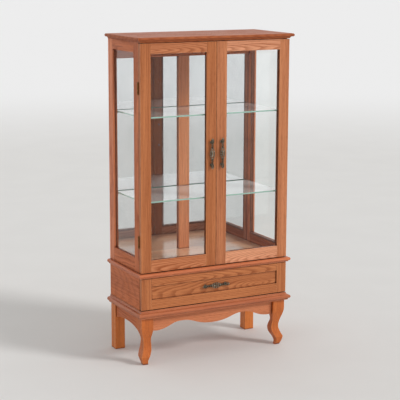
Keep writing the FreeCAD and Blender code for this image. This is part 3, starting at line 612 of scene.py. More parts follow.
@dataclass(frozen=True)
class Glass(Finish):
    """Clear float glass. Where it has an edge axis, faces that look aside of it are greener."""

    kind: str = "glass"
    face: Colour = (0.985, 0.995, 0.99, 1.0)
    hazy: Colour = (0.955, 0.975, 0.97, 1.0)
    edge: Colour = shown(146, 200, 178)
    shadow: Colour = (0.975, 0.985, 0.98, 1.0)
    bend: float = 1.3
    clear: float = 1.0
    shine: float = 0.0
    shine_rough: float = 0.02
    shine_bend: float = 1.5
    edge_axis: int | None = None
    edge_facing: float = 0.5
    haze_scale: float = 11.0
    haze_rough: float = 0.03

    def fill(self, skin: Skin) -> None:
        """Fill the material.

        Args:
            skin: The open material.
        """
        haze = skin.hazed(skin.place(), self.haze_scale)
        colour = skin.mix(self.face, self.hazy, haze)
        if self.edge_axis is not None:
            along = skin.split(skin.surface()["Normal"])[self.edge_axis]
            aside = skin.math("LESS_THAN", skin.math("ABSOLUTE", along), self.edge_facing)
            colour = skin.mix(colour, self.edge, aside)
        skin.set(Base_Color=colour, Roughness=skin.times(haze, self.haze_rough))
        skin.set(IOR=self.bend, Transmission_Weight=self.clear)
        skin.set(Coat_Weight=self.shine, Coat_Roughness=self.shine_rough, Coat_IOR=self.shine_bend)
        path = skin.node("ShaderNodeLightPath").outputs
        lamp = skin.math("MAXIMUM", path["Is Shadow Ray"], path["Is Diffuse Ray"])
        through = skin.node("ShaderNodeBsdfTransparent", {"Color": self.shadow})
        inputs = {0: lamp, 1: skin.shader.outputs[0], 2: through.outputs[0]}
        pane = skin.node("ShaderNodeMixShader", inputs)
        skin.feed(skin.output.inputs["Surface"], pane.outputs[0])


@dataclass(frozen=True)
class Mirror(Finish):
    """Silvered glass, a little grey, with a trace of haze."""

    kind: str = "silvered"
    silver: Colour = (0.80, 0.805, 0.82, 1.0)
    hazy: Colour = (0.755, 0.76, 0.775, 1.0)
    haze_scale: float = 6.0
    rough: Pair = (0.02, 0.05)

    def fill(self, skin: Skin) -> None:
        """Fill the material.

        Args:
            skin: The open material.
        """
        haze = skin.hazed(skin.place(), self.haze_scale)
        skin.set(Base_Color=skin.mix(self.silver, self.hazy, haze), Metallic=1.0)
        skin.rough(haze, *self.rough)


@dataclass(frozen=True)
class Metal(Finish):
    """Cast, stamped or turned metal with dark recesses and rubbed high spots; on a cast pull the
    high spots are lightened also as painted highlights.
    """

    kind: str
    body: Colour
    recess: Colour
    rubbed: Colour
    rough: float
    spots: Layer = Layer((160.0, 160.0, 160.0), 3.0, 0.34, 0.66, 0.55)
    spot_rough: float = 0.16
    pits: Pair = (0.15, 0.2 * MM)
    wear_and_highlight: Pair = (0.9 * MM, 0.9)
    recess_reach: float = 6.0 * MM
    # High spots lightened as rubbed metal and as painted highlights.
    rubbed_and_highlit_crests: Pair = (0.53, 0.61)
    hollows: Pair = (0.49, 0.42)
    relief: float = 0.0

    def fill(self, skin: Skin) -> None:
        """Fill the material.

        Args:
            skin: The open material.
        """
        vector = skin.place()
        spots = skin.layer(vector, self.spots)
        wear_and_highlight = skin.worn_and_highlit(vector, *self.wear_and_highlight)
        colour = skin.mix(self.body, self.recess, skin.times(spots, self.spots.share))
        colour = skin.mix(colour, self.rubbed, wear_and_highlight)
        # The crests are rubbed metal and painted highlights together; the hollows are patina.
        bend = skin.surface()["Pointiness"]
        crest = skin.times(skin.spread(bend, *self.rubbed_and_highlit_crests), self.relief)
        hollow = skin.times(skin.spread(bend, *self.hollows), self.relief)
        colour = skin.mix(colour, self.rubbed, crest)
        deepest = skin.math("MAXIMUM", skin.joints(self.recess_reach), hollow)
        skin.set(Base_Color=skin.mix(colour, self.recess, deepest), Metallic=1.0)
        skin.rough(spots, self.rough, self.spot_rough)
        skin.bump(spots, *self.pits)


@dataclass(frozen=True)
class Moulded(Finish):
    """Dark moulded plastic with a fine spark texture."""

    kind: str = "plastic"
    body: Colour = shown(62, 50, 42)
    scuffed: Colour = shown(98, 84, 72)
    spark: Layer = Layer((1800.0, 1800.0, 1800.0), 1.0, -0.6, 1.3)
    wear_and_highlight: Pair = (0.8 * MM, 0.8)
    relief: Pair = (0.3, 0.1 * MM)

    def fill(self, skin: Skin) -> None:
        """Fill the material.

        Args:
            skin: The open material.
        """
        vector = skin.place()
        spark = skin.noise(vector, self.spark)
        wear_and_highlight = skin.worn_and_highlit(vector, *self.wear_and_highlight)
        skin.set(Base_Color=skin.mix(self.body, self.scuffed, wear_and_highlight))
        skin.set(Roughness=skin.spread(spark, self.spark.low, self.spark.high))
        skin.bump(spark, *self.relief)


# Each oak's third colour is its rubbed edges, which also serve as painted highlights.
FRONT_OAK = Oak(shown(207, 130, 79), shown(143, 72, 32), shown(230, 162, 114))
# A lighter copy of the front oak for the right door: painted light from the lamp's side.
LIT_RIGHT_DOOR_OAK = Oak(shown(214, 139, 93), shown(152, 82, 46), shown(234, 170, 126))
RAIL_OAK = Oak(shown(224, 148, 102), shown(164, 88, 44), shown(238, 174, 130))
# A darker copy of the rail oak for the left door's top rail: painted shade.
SHADED_LEFT_TOP_RAIL_OAK = Oak(shown(208, 134, 90), shown(150, 77, 36), shown(228, 164, 120))
# A lighter copy of the rail oak for the right door's rails: painted light from the lamp's side.
LIT_RIGHT_RAIL_OAK = Oak(shown(236, 167, 128), shown(178, 106, 68), shown(246, 190, 152))
MULLION_OAK = Oak(shown(240, 162, 114), shown(192, 106, 64), shown(250, 184, 140))
# A lighter copy for the front apron: painted light against the shadow under the base.
LIT_APRON_OAK = Oak(shown(218, 137, 94), shown(170, 92, 54), shown(232, 168, 124))
# A lighter copy of the leg oak for the rear legs: painted light against their shade.
LIT_REAR_LEG_OAK = Oak(shown(230, 138, 68), shown(182, 88, 32), shown(244, 180, 120))
LEG_OAK = Oak(
    shown(212, 117, 50), shown(158, 70, 20), shown(238, 166, 104), gloss=0.4, coat=0.12
)
SIDE_OAK = Oak(
    shown(212, 122, 74), shown(150, 70, 34), shown(226, 150, 104), gloss=0.2, coat=0.0
)
# A lighter copy of the side oak for the rear stiles: painted light against their shade.
LIT_POST_OAK = Oak(
    shown(236, 150, 108), shown(180, 98, 66), shown(244, 172, 134), gloss=0.2, coat=0.0
)
# A darker copy for the glass beads: painted shade.
SHADED_BEAD_OAK = Oak(shown(152, 92, 66), shown(100, 54, 38), shown(170, 112, 80), coat=0.1)
# Darker painted shade in the joints, and lighter painted highlights on the rubbed edges.
MOULDING_OAK = Oak(
    shown(220, 132, 86), shown(166, 76, 42), shown(248, 184, 148),
    painted_shade=shown(60, 12, 4), coat=0.2,
)
# Deep, far-reaching painted shade: a painted shadow line on the base top under the drawer front.
BASE_OAK = Oak(
    shown(202, 122, 80), shown(150, 68, 38), shown(232, 166, 126),
    painted_shade=shown(40, 8, 2), coat=0.2, painted_shade_share=1.0, painted_shade_reach=16.0 * MM,
)
# The front oak with deep, far-reaching painted shade: a painted shadow line at the foot of the
# drawer front.
SILL_OAK = Oak(
    shown(207, 130, 79), shown(143, 72, 32), shown(230, 162, 114),
    painted_shade=shown(44, 8, 2), painted_shade_share=1.0, painted_shade_reach=16.0 * MM,
)
# A darker copy for the top: painted shade that offsets its sheen.
SHADED_TOP_OAK = Oak(
    shown(186, 108, 68), shown(138, 66, 38), shown(214, 142, 106), gloss=0.12, coat=0.0
)
PLAIN_OAK = Oak(shown(196, 146, 104), shown(150, 102, 66), shown(206, 160, 118), coat=0.0)
BACK_BOARD = BackBoard()
LACQUER = Lacquer()
PANE = Glass()
SHELF = Glass(
    face=(0.985, 1.0, 0.995, 1.0), bend=1.6, clear=0.34, shine=1.0, shine_bend=2.6, edge_axis=2,
)
SILVERING = Mirror()
# The bronze's pale crests are partly rubbed metal, partly painted highlights.
BRONZE = Metal(
    "bronze", shown(66, 57, 42), shown(14, 11, 8), shown(238, 226, 202),
    rough=0.24, pits=(0.3, 0.2 * MM), relief=1.0,
)
BRASS = Metal("brass", shown(142, 104, 62), shown(70, 48, 26), shown(186, 146, 96), 0.34)
STEEL = Metal(
    "steel", shown(176, 176, 172), shown(96, 94, 90), shown(216, 216, 212), 0.3,
    wear_and_highlight=(0.4 * MM, 0.9),
)
PLASTIC = Moulded()


# ---- dressing nodes


# How fast the pith leans away along a board, and where it lies across and behind it.
STRAIGHT = (0.004, 0.09, 0.03)
ARCHED = (0.10, 0.004, 0.012)
ARCHED_BACK = (-0.12, -0.006, 0.016)

SEED_STEP = 0.37
FINE_EASING = 0.4 * MM
MOULDED_EASING = 0.6 * MM
EASING_STEPS = 2
SEAM_GAP = 0.005 * MM
FLAT_TURN = math.radians(0.6)
SHARP_TURN = math.radians(38.0)


@dataclass(frozen=True)
class Board:
    """A wooden node of the frame and how it is finished."""

    node: str
    grain: Grain
    oak: Oak = FRONT_OAK
    figure: float = 0.4
    easing: float = 0.8 * MM
    pith: Point = STRAIGHT

    def ease(self, piece: Object) -> None:
        """Round the board's sharp edges a little, as sanding does.

        Args:
            piece: The board's object.
        """
        weld = piece.modifiers.new("close_seams", "WELD")
        weld.merge_threshold = SEAM_GAP
        flat = piece.modifiers.new("whole_faces", "DECIMATE")
        flat.decimate_type = "DISSOLVE"
        flat.angle_limit = FLAT_TURN
        bevel = piece.modifiers.new("eased_edges", "BEVEL")
        bevel.width = self.easing
        bevel.segments = EASING_STEPS
        bevel.limit_method = "ANGLE"
        bevel.angle_limit = SHARP_TURN
        bevel.use_clamp_overlap = True
        level = piece.modifiers.new("flat_faces", "WEIGHTED_NORMAL")
        level.keep_sharp = True


def cover(node: str, material: Material) -> Object:
    """Put a material on every slot of a node.

    Args:
        node: The node's name.
        material: Its material.

    Returns:
        The node's object.
    """
    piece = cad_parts[node]
    for slot in piece.material_slots:
        slot.material = material
    LOG.info("%s: %s", node, material.name)
    return piece


def cover_each(own: str = "", **finishes: Finish) -> None:
    """Cover nodes, each with its finish. Own is what all their names start with."""
    for name, finish in finishes.items():
        cover(own + name, finish.material(own + name))


def dress_boards(first_seed: float, *boards: Board) -> None:
    """Ease and finish some boards, each cut from another place in the tree.

    Args:
        first_seed: The first board's place. The next ones follow it.
        boards: The boards.
    """
    for number, board in enumerate(boards):
        piece = cover(board.node, board.oak.material(board, first_seed + SEED_STEP * number))
        if board.easing > 0.0:
            board.ease(piece)


# ---- mesh building


ALONG = Vector((1.0, 0.0, 0.0))
OUTWARD = Vector((0.0, 0.0, 1.0))
TUBE_SIDES = 12
HOOP_STEPS = 56
TURNED_SIDES = 28
BEAD_STEPS = 9
BEAD_SIDES = 14


class Casting:
    """A closed mesh that is built up from swept and turned forms.

    Lengths are in metres in the casting's own frame: first axis along it, second
    across it, third away from the surface that it is screwed to.
    """

    def __init__(self) -> None:
        """Start with an empty mesh."""
        self.mesh = bmesh.new()

    def rings(self, rings: Sequence[Sequence[Vector]], closed: bool = False) -> None:
        """Join rings of points into a closed skin.

        Args:
            rings: Rings with the same number of points, in order.
            closed: Whether the last ring joins the first. If not, each end gets a cap.
        """
        made = [[self.mesh.verts.new(point) for point in ring] for ring in rings]
        count = len(made[0])
        for near, far in zip(made, made[1:] + made[:1] if closed else made[1:]):
            for i in range(count):
                j = (i + 1) % count
                self.mesh.faces.new((near[i], near[j], far[j], far[i]))
        for ring, turned in () if closed else ((made[0], True), (made[-1], False)):
            centre = self.mesh.verts.new(sum((v.co for v in ring), Vector()) / count)
            for i in range(count):
                j = (i + 1) % count
                corners = (ring[j], ring[i], centre) if turned else (ring[i], ring[j], centre)
                self.mesh.faces.new(corners)

    def section(
        self, centre: Vector, ahead: Vector, normal: Vector, radius: float, sides: int
    ) -> list[Vector]:
        """Place a round section square to a direction.

        Args:
            centre: Its middle.
            ahead: The direction that it is square to, a unit vector.
            normal: Where its first point lies, a unit vector.
            radius: Its radius.
            sides: How many points it has.

        Returns:
            Its points.
        """
        side = ahead.cross(normal)
        return [
            centre + (normal * math.cos(angle) + side * math.sin(angle)) * radius
            for angle in around(sides)
        ]

    def tube(
        self, path: Sequence[Vector], radii: Sequence[float], sides: int = TUBE_SIDES
    ) -> None:
        """Sweep a round section along a path.

        Args:
            path: The points that the tube follows.
            radii: Its radius at each point.
            sides: How many points its section has.
        """
        normal = OUTWARD
        rings = []
        for i, (point, radius) in enumerate(zip(path, radii)):
            ahead = (path[min(i + 1, len(path) - 1)] - path[max(i - 1, 0)]).normalized()
            normal = (normal - ahead * normal.dot(ahead)).normalized()
            rings.append(self.section(point, ahead, normal, radius, sides))
        self.rings(rings)

    def hoop(
        self, centre: Vector, half_length: float, half_width: float, radius: float
    ) -> None:
        """Add a closed oval hoop of round section.

        Args:
            centre: Its middle.
            half_length: Half its length, to the middle of the section.
            half_width: Half its width, to the middle of the section.
            radius: The radius of its section.
        """
        rings = []
        for angle in around(HOOP_STEPS):
            cosine, sine = math.cos(angle), math.sin(angle)
            point = centre + Vector((half_length * cosine, half_width * sine, 0.0))
            ahead = Vector((-half_length * sine, half_width * cosine, 0.0)).normalized()
            rings.append(self.section(point, ahead, OUTWARD, radius, TUBE_SIDES))
        self.rings(rings, closed=True)

    def turned(
        self, axis: Vector, start: Vector, profile: Sequence[Pair], sides: int = TURNED_SIDES
    ) -> None:
        """Turn a profile about an axis.

        Args:
            axis: The axis, a unit vector.
            start: Where the axis starts.
            profile: Distance along the axis and radius, in order.
            sides: How many points go round.
        """
        first = axis.orthogonal().normalized()
        self.rings(
            [self.section(start + axis * at, axis, first, radius, sides) for at, radius in profile]
        )

    def bead(self, centre: Vector, radius: float, stretch: float = 1.0) -> None:
        """Add a round bead.

        Args:
            centre: Its middle.
            radius: Its radius.
            stretch: Its length along the casting over its width.
        """
        profile = []
        for i in range(BEAD_STEPS):
            angle = math.pi * (i + 0.4) / (BEAD_STEPS - 0.2)
            profile.append((radius * stretch * (1.0 - math.cos(angle)), radius * math.sin(angle)))
        start = centre - Vector((radius * stretch, 0.0, 0.0))
        self.turned(ALONG, start, profile, BEAD_SIDES)

    def finish(self, name: str, place: Matrix) -> Object:
        """Turn the mesh into an object.

        Args:
            name: The object's name.
            place: Where its own frame lies in the part's frame.

        Returns:
            The object, with its place in its mesh.
        """
        bmesh.ops.recalc_face_normals(self.mesh, faces=self.mesh.faces)
        self.mesh.transform(place)
        for face in self.mesh.faces:
            face.smooth = True
        data = bpy.data.meshes.new(name)
        self.mesh.to_mesh(data)
        self.mesh.free()
        return linked(name, data)


def linked(name: str, data: bpy.types.ID) -> Object:
    """Make an object of some data and link it to the scene.

    Args:
        name: The object's name.
        data: Its mesh, lamp or camera.

    Returns:
        The object.
    """
    made = bpy.data.objects.new(name, data)
    bpy.context.scene.collection.objects.link(made)
    return made


def smoothed(points: Sequence[Point], steps: int) -> list[Vector]:
    """Run a smooth line through some points.

    Args:
        points: The points.
        steps: How many steps from one to the next.

    Returns:
        The points of the line.
    """
    knots = [Vector(point) for point in points]
    knots = [2.0 * knots[0] - knots[1], *knots, 2.0 * knots[-1] - knots[-2]]
    line = []
    for a, b, c, d in zip(knots, knots[1:], knots[2:], knots[3:]):
        square = 2.0 * a - 5.0 * b + 4.0 * c - d
        cube = 3.0 * b - a - 3.0 * c + d
        for i in range(steps):
            t = i / steps
            line.append(0.5 * (2.0 * b + (c - a) * t + square * t * t + cube * t ** 3))
    line.append(knots[-2])
    return line


# The pulls' profiles, in millimetres: a foot's reach and radius; a collar's place, radius
# and half length; and a scroll's places along, across and above the bar, with its radius.
FOOT = (
    (0.0, 6.5), (1.6, 6.5), (2.3, 6.1), (2.5, 5.2), (3.2, 4.4), (5.0, 3.9), (8.6, 3.3),
    (10.2, 2.2),
)
COLLARS = ((23.6, 5.2, 1.7), (38.6, 4.0, 1.5))
COLLAR_STEPS = 13
COLLAR_SIDES = 22
COLLAR_FOOT = 2.2
SCROLL = (
    (41.0, 0.6, 0.0, 1.3), (44.0, 3.2, 0.6, 1.7), (49.0, 4.9, 1.2, 2.0), (54.5, 5.0, 1.6, 2.0),
    (59.0, 3.9, 1.8, 1.8), (61.0, 2.0, 1.8, 1.6), (59.4, 0.9, 1.9, 1.4), (56.6, 1.3, 2.2, 1.3),
    (56.2, 2.9, 2.4, 1.6),
)
SCROLL_STEPS = 6


@dataclass
class CastPull:
    """A cast pull: an openwork medallion between twisted arms that end in scrolls."""

    body: str
    centre: Point
    along: Point
    bar_height: float = 10.0 * MM
    foot_reach: float = 48.0 * MM
    tip_reach: float = 65.5 * MM
    tip_ball: float = 2.7 * MM
    tip_rise: float = 0.8 * MM
    seed_reach: float = 50.5 * MM
    seed_ball: float = 2.6 * MM
    seed_rise: float = 1.6 * MM
    seed_stretch: float = 1.6
    leaf_half: float = 15.0 * MM
    leaf_width: float = 5.6 * MM
    leaf_rise: float = 4.0 * MM
    leaf_back: float = 2.6 * MM
    leaf_fullness: float = 0.8
    leaf_lobe: float = 0.2
    leaf_stations: int = 45
    leaf_sides: int = 28
    dome_fall: float = 0.45
    vein_depth: float = 0.5 * MM
    vein_lean: float = 1.6
    rib_height: float = 0.9 * MM
    rib_half: float = 0.2
    hoop_half: float = 21.0 * MM
    hoop_width: float = 10.2 * MM
    hoop_radius: float = 1.8 * MM
    rim_beads: int = 14
    rim_bead: float = 2.4 * MM
    rim_rise: float = 1.3 * MM
    spoke_foot: Pair = (6.0 * MM, 3.6 * MM)
    spoke_head: Pair = (11.0 * MM, 8.4 * MM)
    spoke_bow: float = 1.6 * MM
    spoke_radius: float = 1.3 * MM
    spoke_steps: int = 5
    spoke_sides: int = 10
    arm_start: float = 18.5 * MM
    arm_length: float = 29.5 * MM
    arm_turns: float = 1.5
    arm_radius: float = 1.9 * MM
    arm_swing: float = 4.6 * MM
    arm_taper: float = 0.45
    arm_flatness: float = 0.45
    arm_steps: int = 40

    @property
    def name(self) -> str:
        """The pull's own name."""
        return self.body + "_cast_pull"

    @property
    def node(self) -> str:
        """The node that the pull stands for."""
        return self.body + "_pull"

    def leaf_outline(self, along: float) -> float:
        """Give half the leaf's width, drawn in between its lobes."""
        lobes = 1.0 + self.leaf_lobe * math.cos(2.0 * math.tau * along)
        oval = math.sqrt(max(0.0, 1.0 - along * along)) ** self.leaf_fullness
        return self.leaf_width * oval * lobes / (1.0 + self.leaf_lobe)

    def leaf_height(self, along: float, across: float) -> float:
        """Give the height of the leaf's face, with a rib down the middle and veins off it."""
        dome = self.leaf_rise * (1.0 - self.dome_fall * along * along)
        bend = math.tau * (2.0 * abs(along) + self.vein_lean * abs(across))
        rib = self.rib_height * math.exp(-((across / self.rib_half) ** 2))
        return dome + self.vein_depth * math.cos(bend) + rib - self.rib_height

    def leaf(self, casting: Casting, middle: Vector) -> None:
        """Add the leaf: a domed face over a shallower back.

        Args:
            casting: The mesh that it goes into.
            middle: Its middle.
        """
        rings = []
        for i in range(self.leaf_stations):
            along = -math.cos(math.pi * (i + 0.5) / self.leaf_stations)
            half = self.leaf_outline(along)
            ring = []
            for angle in around(self.leaf_sides):
                across, rise = math.cos(angle), math.sin(angle)
                lift = self.leaf_height(along, across) if rise > 0.0 else self.leaf_back
                ring.append(middle + Vector((along * self.leaf_half, across * half, lift * rise)))
            rings.append(ring)
        casting.rings(rings)

    def medallion(self, casting: Casting) -> None:
        """Add the beaded hoop, the ribbed leaf in it and the spokes between them.

        Args:
            casting: The mesh that they go into.
        """
        middle = Vector((0.0, 0.0, self.bar_height))
        casting.hoop(middle, self.hoop_half, self.hoop_width, self.hoop_radius)
        for angle in around(self.rim_beads, 0.5):
            along, across = self.hoop_half * math.cos(angle), self.hoop_width * math.sin(angle)
            casting.bead(middle + Vector((along, across, self.rim_rise)), self.rim_bead)
        self.leaf(casting, middle)
        radii = [self.spoke_radius] * (2 * self.spoke_steps + 1)
        for side in (-1.0, 1.0):
            for lean in (-1.0, 0.0, 1.0):
                foot, head = (
                    Vector((lean * along, side * across, self.bar_height))
                    for along, across in (self.spoke_foot, self.spoke_head)
                )
                bow = Vector((lean * self.spoke_bow, 0.0, self.spoke_bow))
                path = smoothed([foot, (foot + head) / 2.0 + bow, head], self.spoke_steps)
                casting.tube(path, radii, self.spoke_sides)

    def arm(self, casting: Casting, end: float) -> None:
        """Add the twisted arm, the collars and the foot at one end.

        Args:
            casting: The mesh that they go into.
            end: 1 or -1, the end of the pull.
        """
        for turn in (0.0, math.pi):
            path = []
            for i in range(self.arm_steps + 1):
                share = i / self.arm_steps
                at = self.arm_start + self.arm_length * share
                angle = turn + math.tau * self.arm_turns * share
                swing = self.arm_swing * (1.0 - self.arm_taper * share)
                rise = self.arm_flatness * swing * math.cos(angle)
                path.append(Vector((end * at, swing * math.sin(angle), self.bar_height + rise)))
            casting.tube(path, [self.arm_radius] * len(path))
        for at, crest, half in COLLARS:
            profile = []
            for i in range(COLLAR_STEPS):
                angle = math.pi * (i + 0.5) / COLLAR_STEPS
                radius = COLLAR_FOOT + (crest - COLLAR_FOOT) * math.sin(angle)
                profile.append(((half - half * math.cos(angle)) * MM, radius * MM))
            start = Vector((end * at * MM - half * MM, 0.0, self.bar_height))
            casting.turned(ALONG, start, profile, COLLAR_SIDES)
        foot = [(reach * MM, radius * MM) for reach, radius in FOOT]
        casting.turned(OUTWARD, Vector((end * self.foot_reach, 0.0, 0.0)), foot)

    def scrolls(self, casting: Casting, end: float) -> None:
        """Add the pair of C-scrolls and the two beads at one end.

        Args:
            casting: The mesh that they go into.
            end: 1 or -1, the end of the pull.
        """
        for side in (-1.0, 1.0):
            points = [
                (end * along * MM, side * across * MM, self.bar_height + above * MM)
                for along, across, above, _ in SCROLL
            ]
            path = smoothed(points, SCROLL_STEPS)
            radii = []
            for i in range(len(path)):
                share, knot = math.modf(i / SCROLL_STEPS)
                near = SCROLL[int(knot)][3]
                far = SCROLL[min(int(knot) + 1, len(SCROLL) - 1)][3]
                radii.append((near + (far - near) * share) * MM)
            casting.tube(path, radii)
        reach = end * (self.tip_reach - self.tip_ball)
        casting.bead(Vector((reach, 0.0, self.bar_height + self.tip_rise)), self.tip_ball)
        seed = Vector((end * self.seed_reach, 0.0, self.bar_height + self.seed_rise))
        casting.bead(seed, self.seed_ball, self.seed_stretch)

    def build(self) -> Object:
        """Build the pull and let it stand for its node.

        Returns:
            The pull.
        """
        casting = Casting()
        self.medallion(casting)
        for end in (-1.0, 1.0):
            self.arm(casting, end)
            self.scrolls(casting, end)
        first = Vector(self.along)
        third = Vector((0.0, -1.0, 0.0))
        place = Matrix((first, third.cross(first), third)).transposed().to_4x4()
        place.translation = Vector(self.centre)
        piece = casting.finish(self.name, place)
        piece.data.materials.append(BRONZE.material(self.name))
        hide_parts(self.node)
        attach(piece, self.body)
        LOG.info("%s: cast pull in place of %s", self.name, self.node)
        return piece


# ---- sub-assemblies


@dataclass
class Stand:
    """Legs, aprons, glue blocks and the moulded board that they carry."""

    easing: float = 1.2 * MM
    seed: float = 1.0

    def dress(self) -> None:
        """Finish the stand's pieces."""
        dress_boards(
            self.seed,
            Board("front_leg_right", Grain.UPRIGHT, LEG_OAK, 0.2, self.easing),
            Board("front_leg_left", Grain.UPRIGHT, LEG_OAK, 0.2, self.easing),
            Board("rear_legs", Grain.UPRIGHT, LIT_REAR_LEG_OAK, 0.25, self.easing),
            Board("apron_front", Grain.ACROSS, LIT_APRON_OAK, 0.2, self.easing),
            Board("side_aprons", Grain.DEEP, SIDE_OAK, 0.25, self.easing),
            Board("apron_rear", Grain.ACROSS, SIDE_OAK, 0.4, self.easing),
            Board("glue_blocks", Grain.UPRIGHT, PLAIN_OAK, 0.3),
            Board("base_board", Grain.TURNING, BASE_OAK, 0.2, MOULDED_EASING),
        )


@dataclass
class DrawerCase:
    """The low case between base and waist, which the drawer slides in."""

    seed: float = 5.0

    def dress(self) -> None:
        """Finish the drawer case's pieces."""
        dress_boards(
            self.seed,
            Board("drawer_case_sides", Grain.DEEP, SIDE_OAK, 0.2, pith=ARCHED),
            Board("drawer_runners", Grain.DEEP, PLAIN_OAK, 0.3),
            Board("waist_board", Grain.TURNING, MOULDING_OAK, 0.2, MOULDED_EASING),
        )


@dataclass
class DisplayCase:
    """The glazed case with its mirrors, shelves, lacquered floor and moulded top."""

    seed: float = 9.0

    def dress(self) -> None:
        """Finish the display case's pieces."""
        dress_boards(
            self.seed,
            Board("side_front_stiles", Grain.UPRIGHT, SIDE_OAK),
            Board("side_rear_stiles", Grain.UPRIGHT, LIT_POST_OAK),
            Board("side_top_rails", Grain.DEEP, SIDE_OAK),
            Board("side_bottom_rails", Grain.DEEP, SIDE_OAK),
            Board("side_glass_beads", Grain.UPRIGHT, SHADED_BEAD_OAK, 0.3, FINE_EASING),
            Board("back_top_rail", Grain.ACROSS, SIDE_OAK, pith=ARCHED),
            Board("back_mullion", Grain.UPRIGHT, MULLION_OAK, 0.45),
            Board("top_board", Grain.TURNING, SHADED_TOP_OAK, 0.35, MOULDED_EASING, ARCHED_BACK),
        )
        cover_each(
            floor_panel=LACQUER,
            side_glass_panes=PANE,
            shelf_upper=SHELF,
            shelf_lower=SHELF,
            back_mirrors=SILVERING,
            back_panels=BACK_BOARD,
            shelf_pins=STEEL,
            hinge_case_leaves=BRASS,
            hinge_pins=BRASS,
            case_hinge_screws=STEEL,
            magnetic_catches=PLASTIC,
        )


@dataclass
class Door:
    """One glazed door with its beads, hinge leaves, strike plate and pull."""

    side: Side
    seed: float
    oak: Oak
    top_oak: Oak
    bottom_oak: Oak
    rail_figure: float = 0.55
    pull_offset: float = 24.25 * MM
    pull_height: float = 885.0 * MM
    face: float = -151.7 * MM

    @property
    def body(self) -> str:
        """The door's body in the frame."""
        return self.side.value + "_door"

    def build(self) -> Object:
        """Build the door's pull, which stands upright.

        Returns:
            The pull.
        """
        offset = -self.pull_offset if self.side is Side.LEFT else self.pull_offset
        centre = (offset, self.face, self.pull_height)
        return CastPull(self.body, centre, along=(0.0, 0.0, 1.0)).build()

    def dress(self) -> None:
        """Finish the door's pieces."""
        own = self.body + "_"
        figure = self.rail_figure
        dress_boards(
            self.seed,
            Board(own + "inner_stile", Grain.UPRIGHT, self.oak),
            Board(own + "outer_stile", Grain.UPRIGHT, self.oak),
            Board(own + "top_rail", Grain.ACROSS, self.top_oak, figure, pith=ARCHED),
            Board(own + "bottom_rail", Grain.ACROSS, self.bottom_oak, figure, pith=ARCHED_BACK),
            Board(own + "beads", Grain.UPRIGHT, SHADED_BEAD_OAK, 0.3, FINE_EASING),
        )
        cover_each(own, glass=PANE, hinge_leaves=BRASS, strike_plate=STEEL, screws=STEEL)


@dataclass
class Drawer:
    """The drawer: a framed front on a plain box."""

    seed: float = 23.0
    pull_height: float = 314.5 * MM
    panel_face: float = -145.7 * MM

    def build(self) -> Object:
        """Build the drawer's pull, which lies level."""
        centre = (0.0, self.panel_face, self.pull_height)
        return CastPull("drawer", centre, along=(1.0, 0.0, 0.0)).build()

    def dress(self) -> None:
        """Finish the drawer's pieces."""
        dress_boards(
            self.seed,
            Board("drawer_front_stiles", Grain.UPRIGHT, SILL_OAK),
            Board("drawer_front_top_rail", Grain.ACROSS, figure=0.5, pith=ARCHED),
            Board("drawer_front_bottom_rail", Grain.ACROSS, SILL_OAK),
            Board("drawer_front_panel", Grain.ACROSS, figure=0.45, pith=ARCHED_BACK),
            Board("drawer_box_sides", Grain.DEEP, PLAIN_OAK),
            Board("drawer_box_front", Grain.ACROSS, PLAIN_OAK),
            Board("drawer_box_back", Grain.ACROSS, PLAIN_OAK, pith=ARCHED),
            Board("drawer_box_bottom", Grain.ACROSS, PLAIN_OAK, easing=0.0, pith=ARCHED_BACK),
        )
        cover_each(drawer_screws=STEEL)


# ---- studio


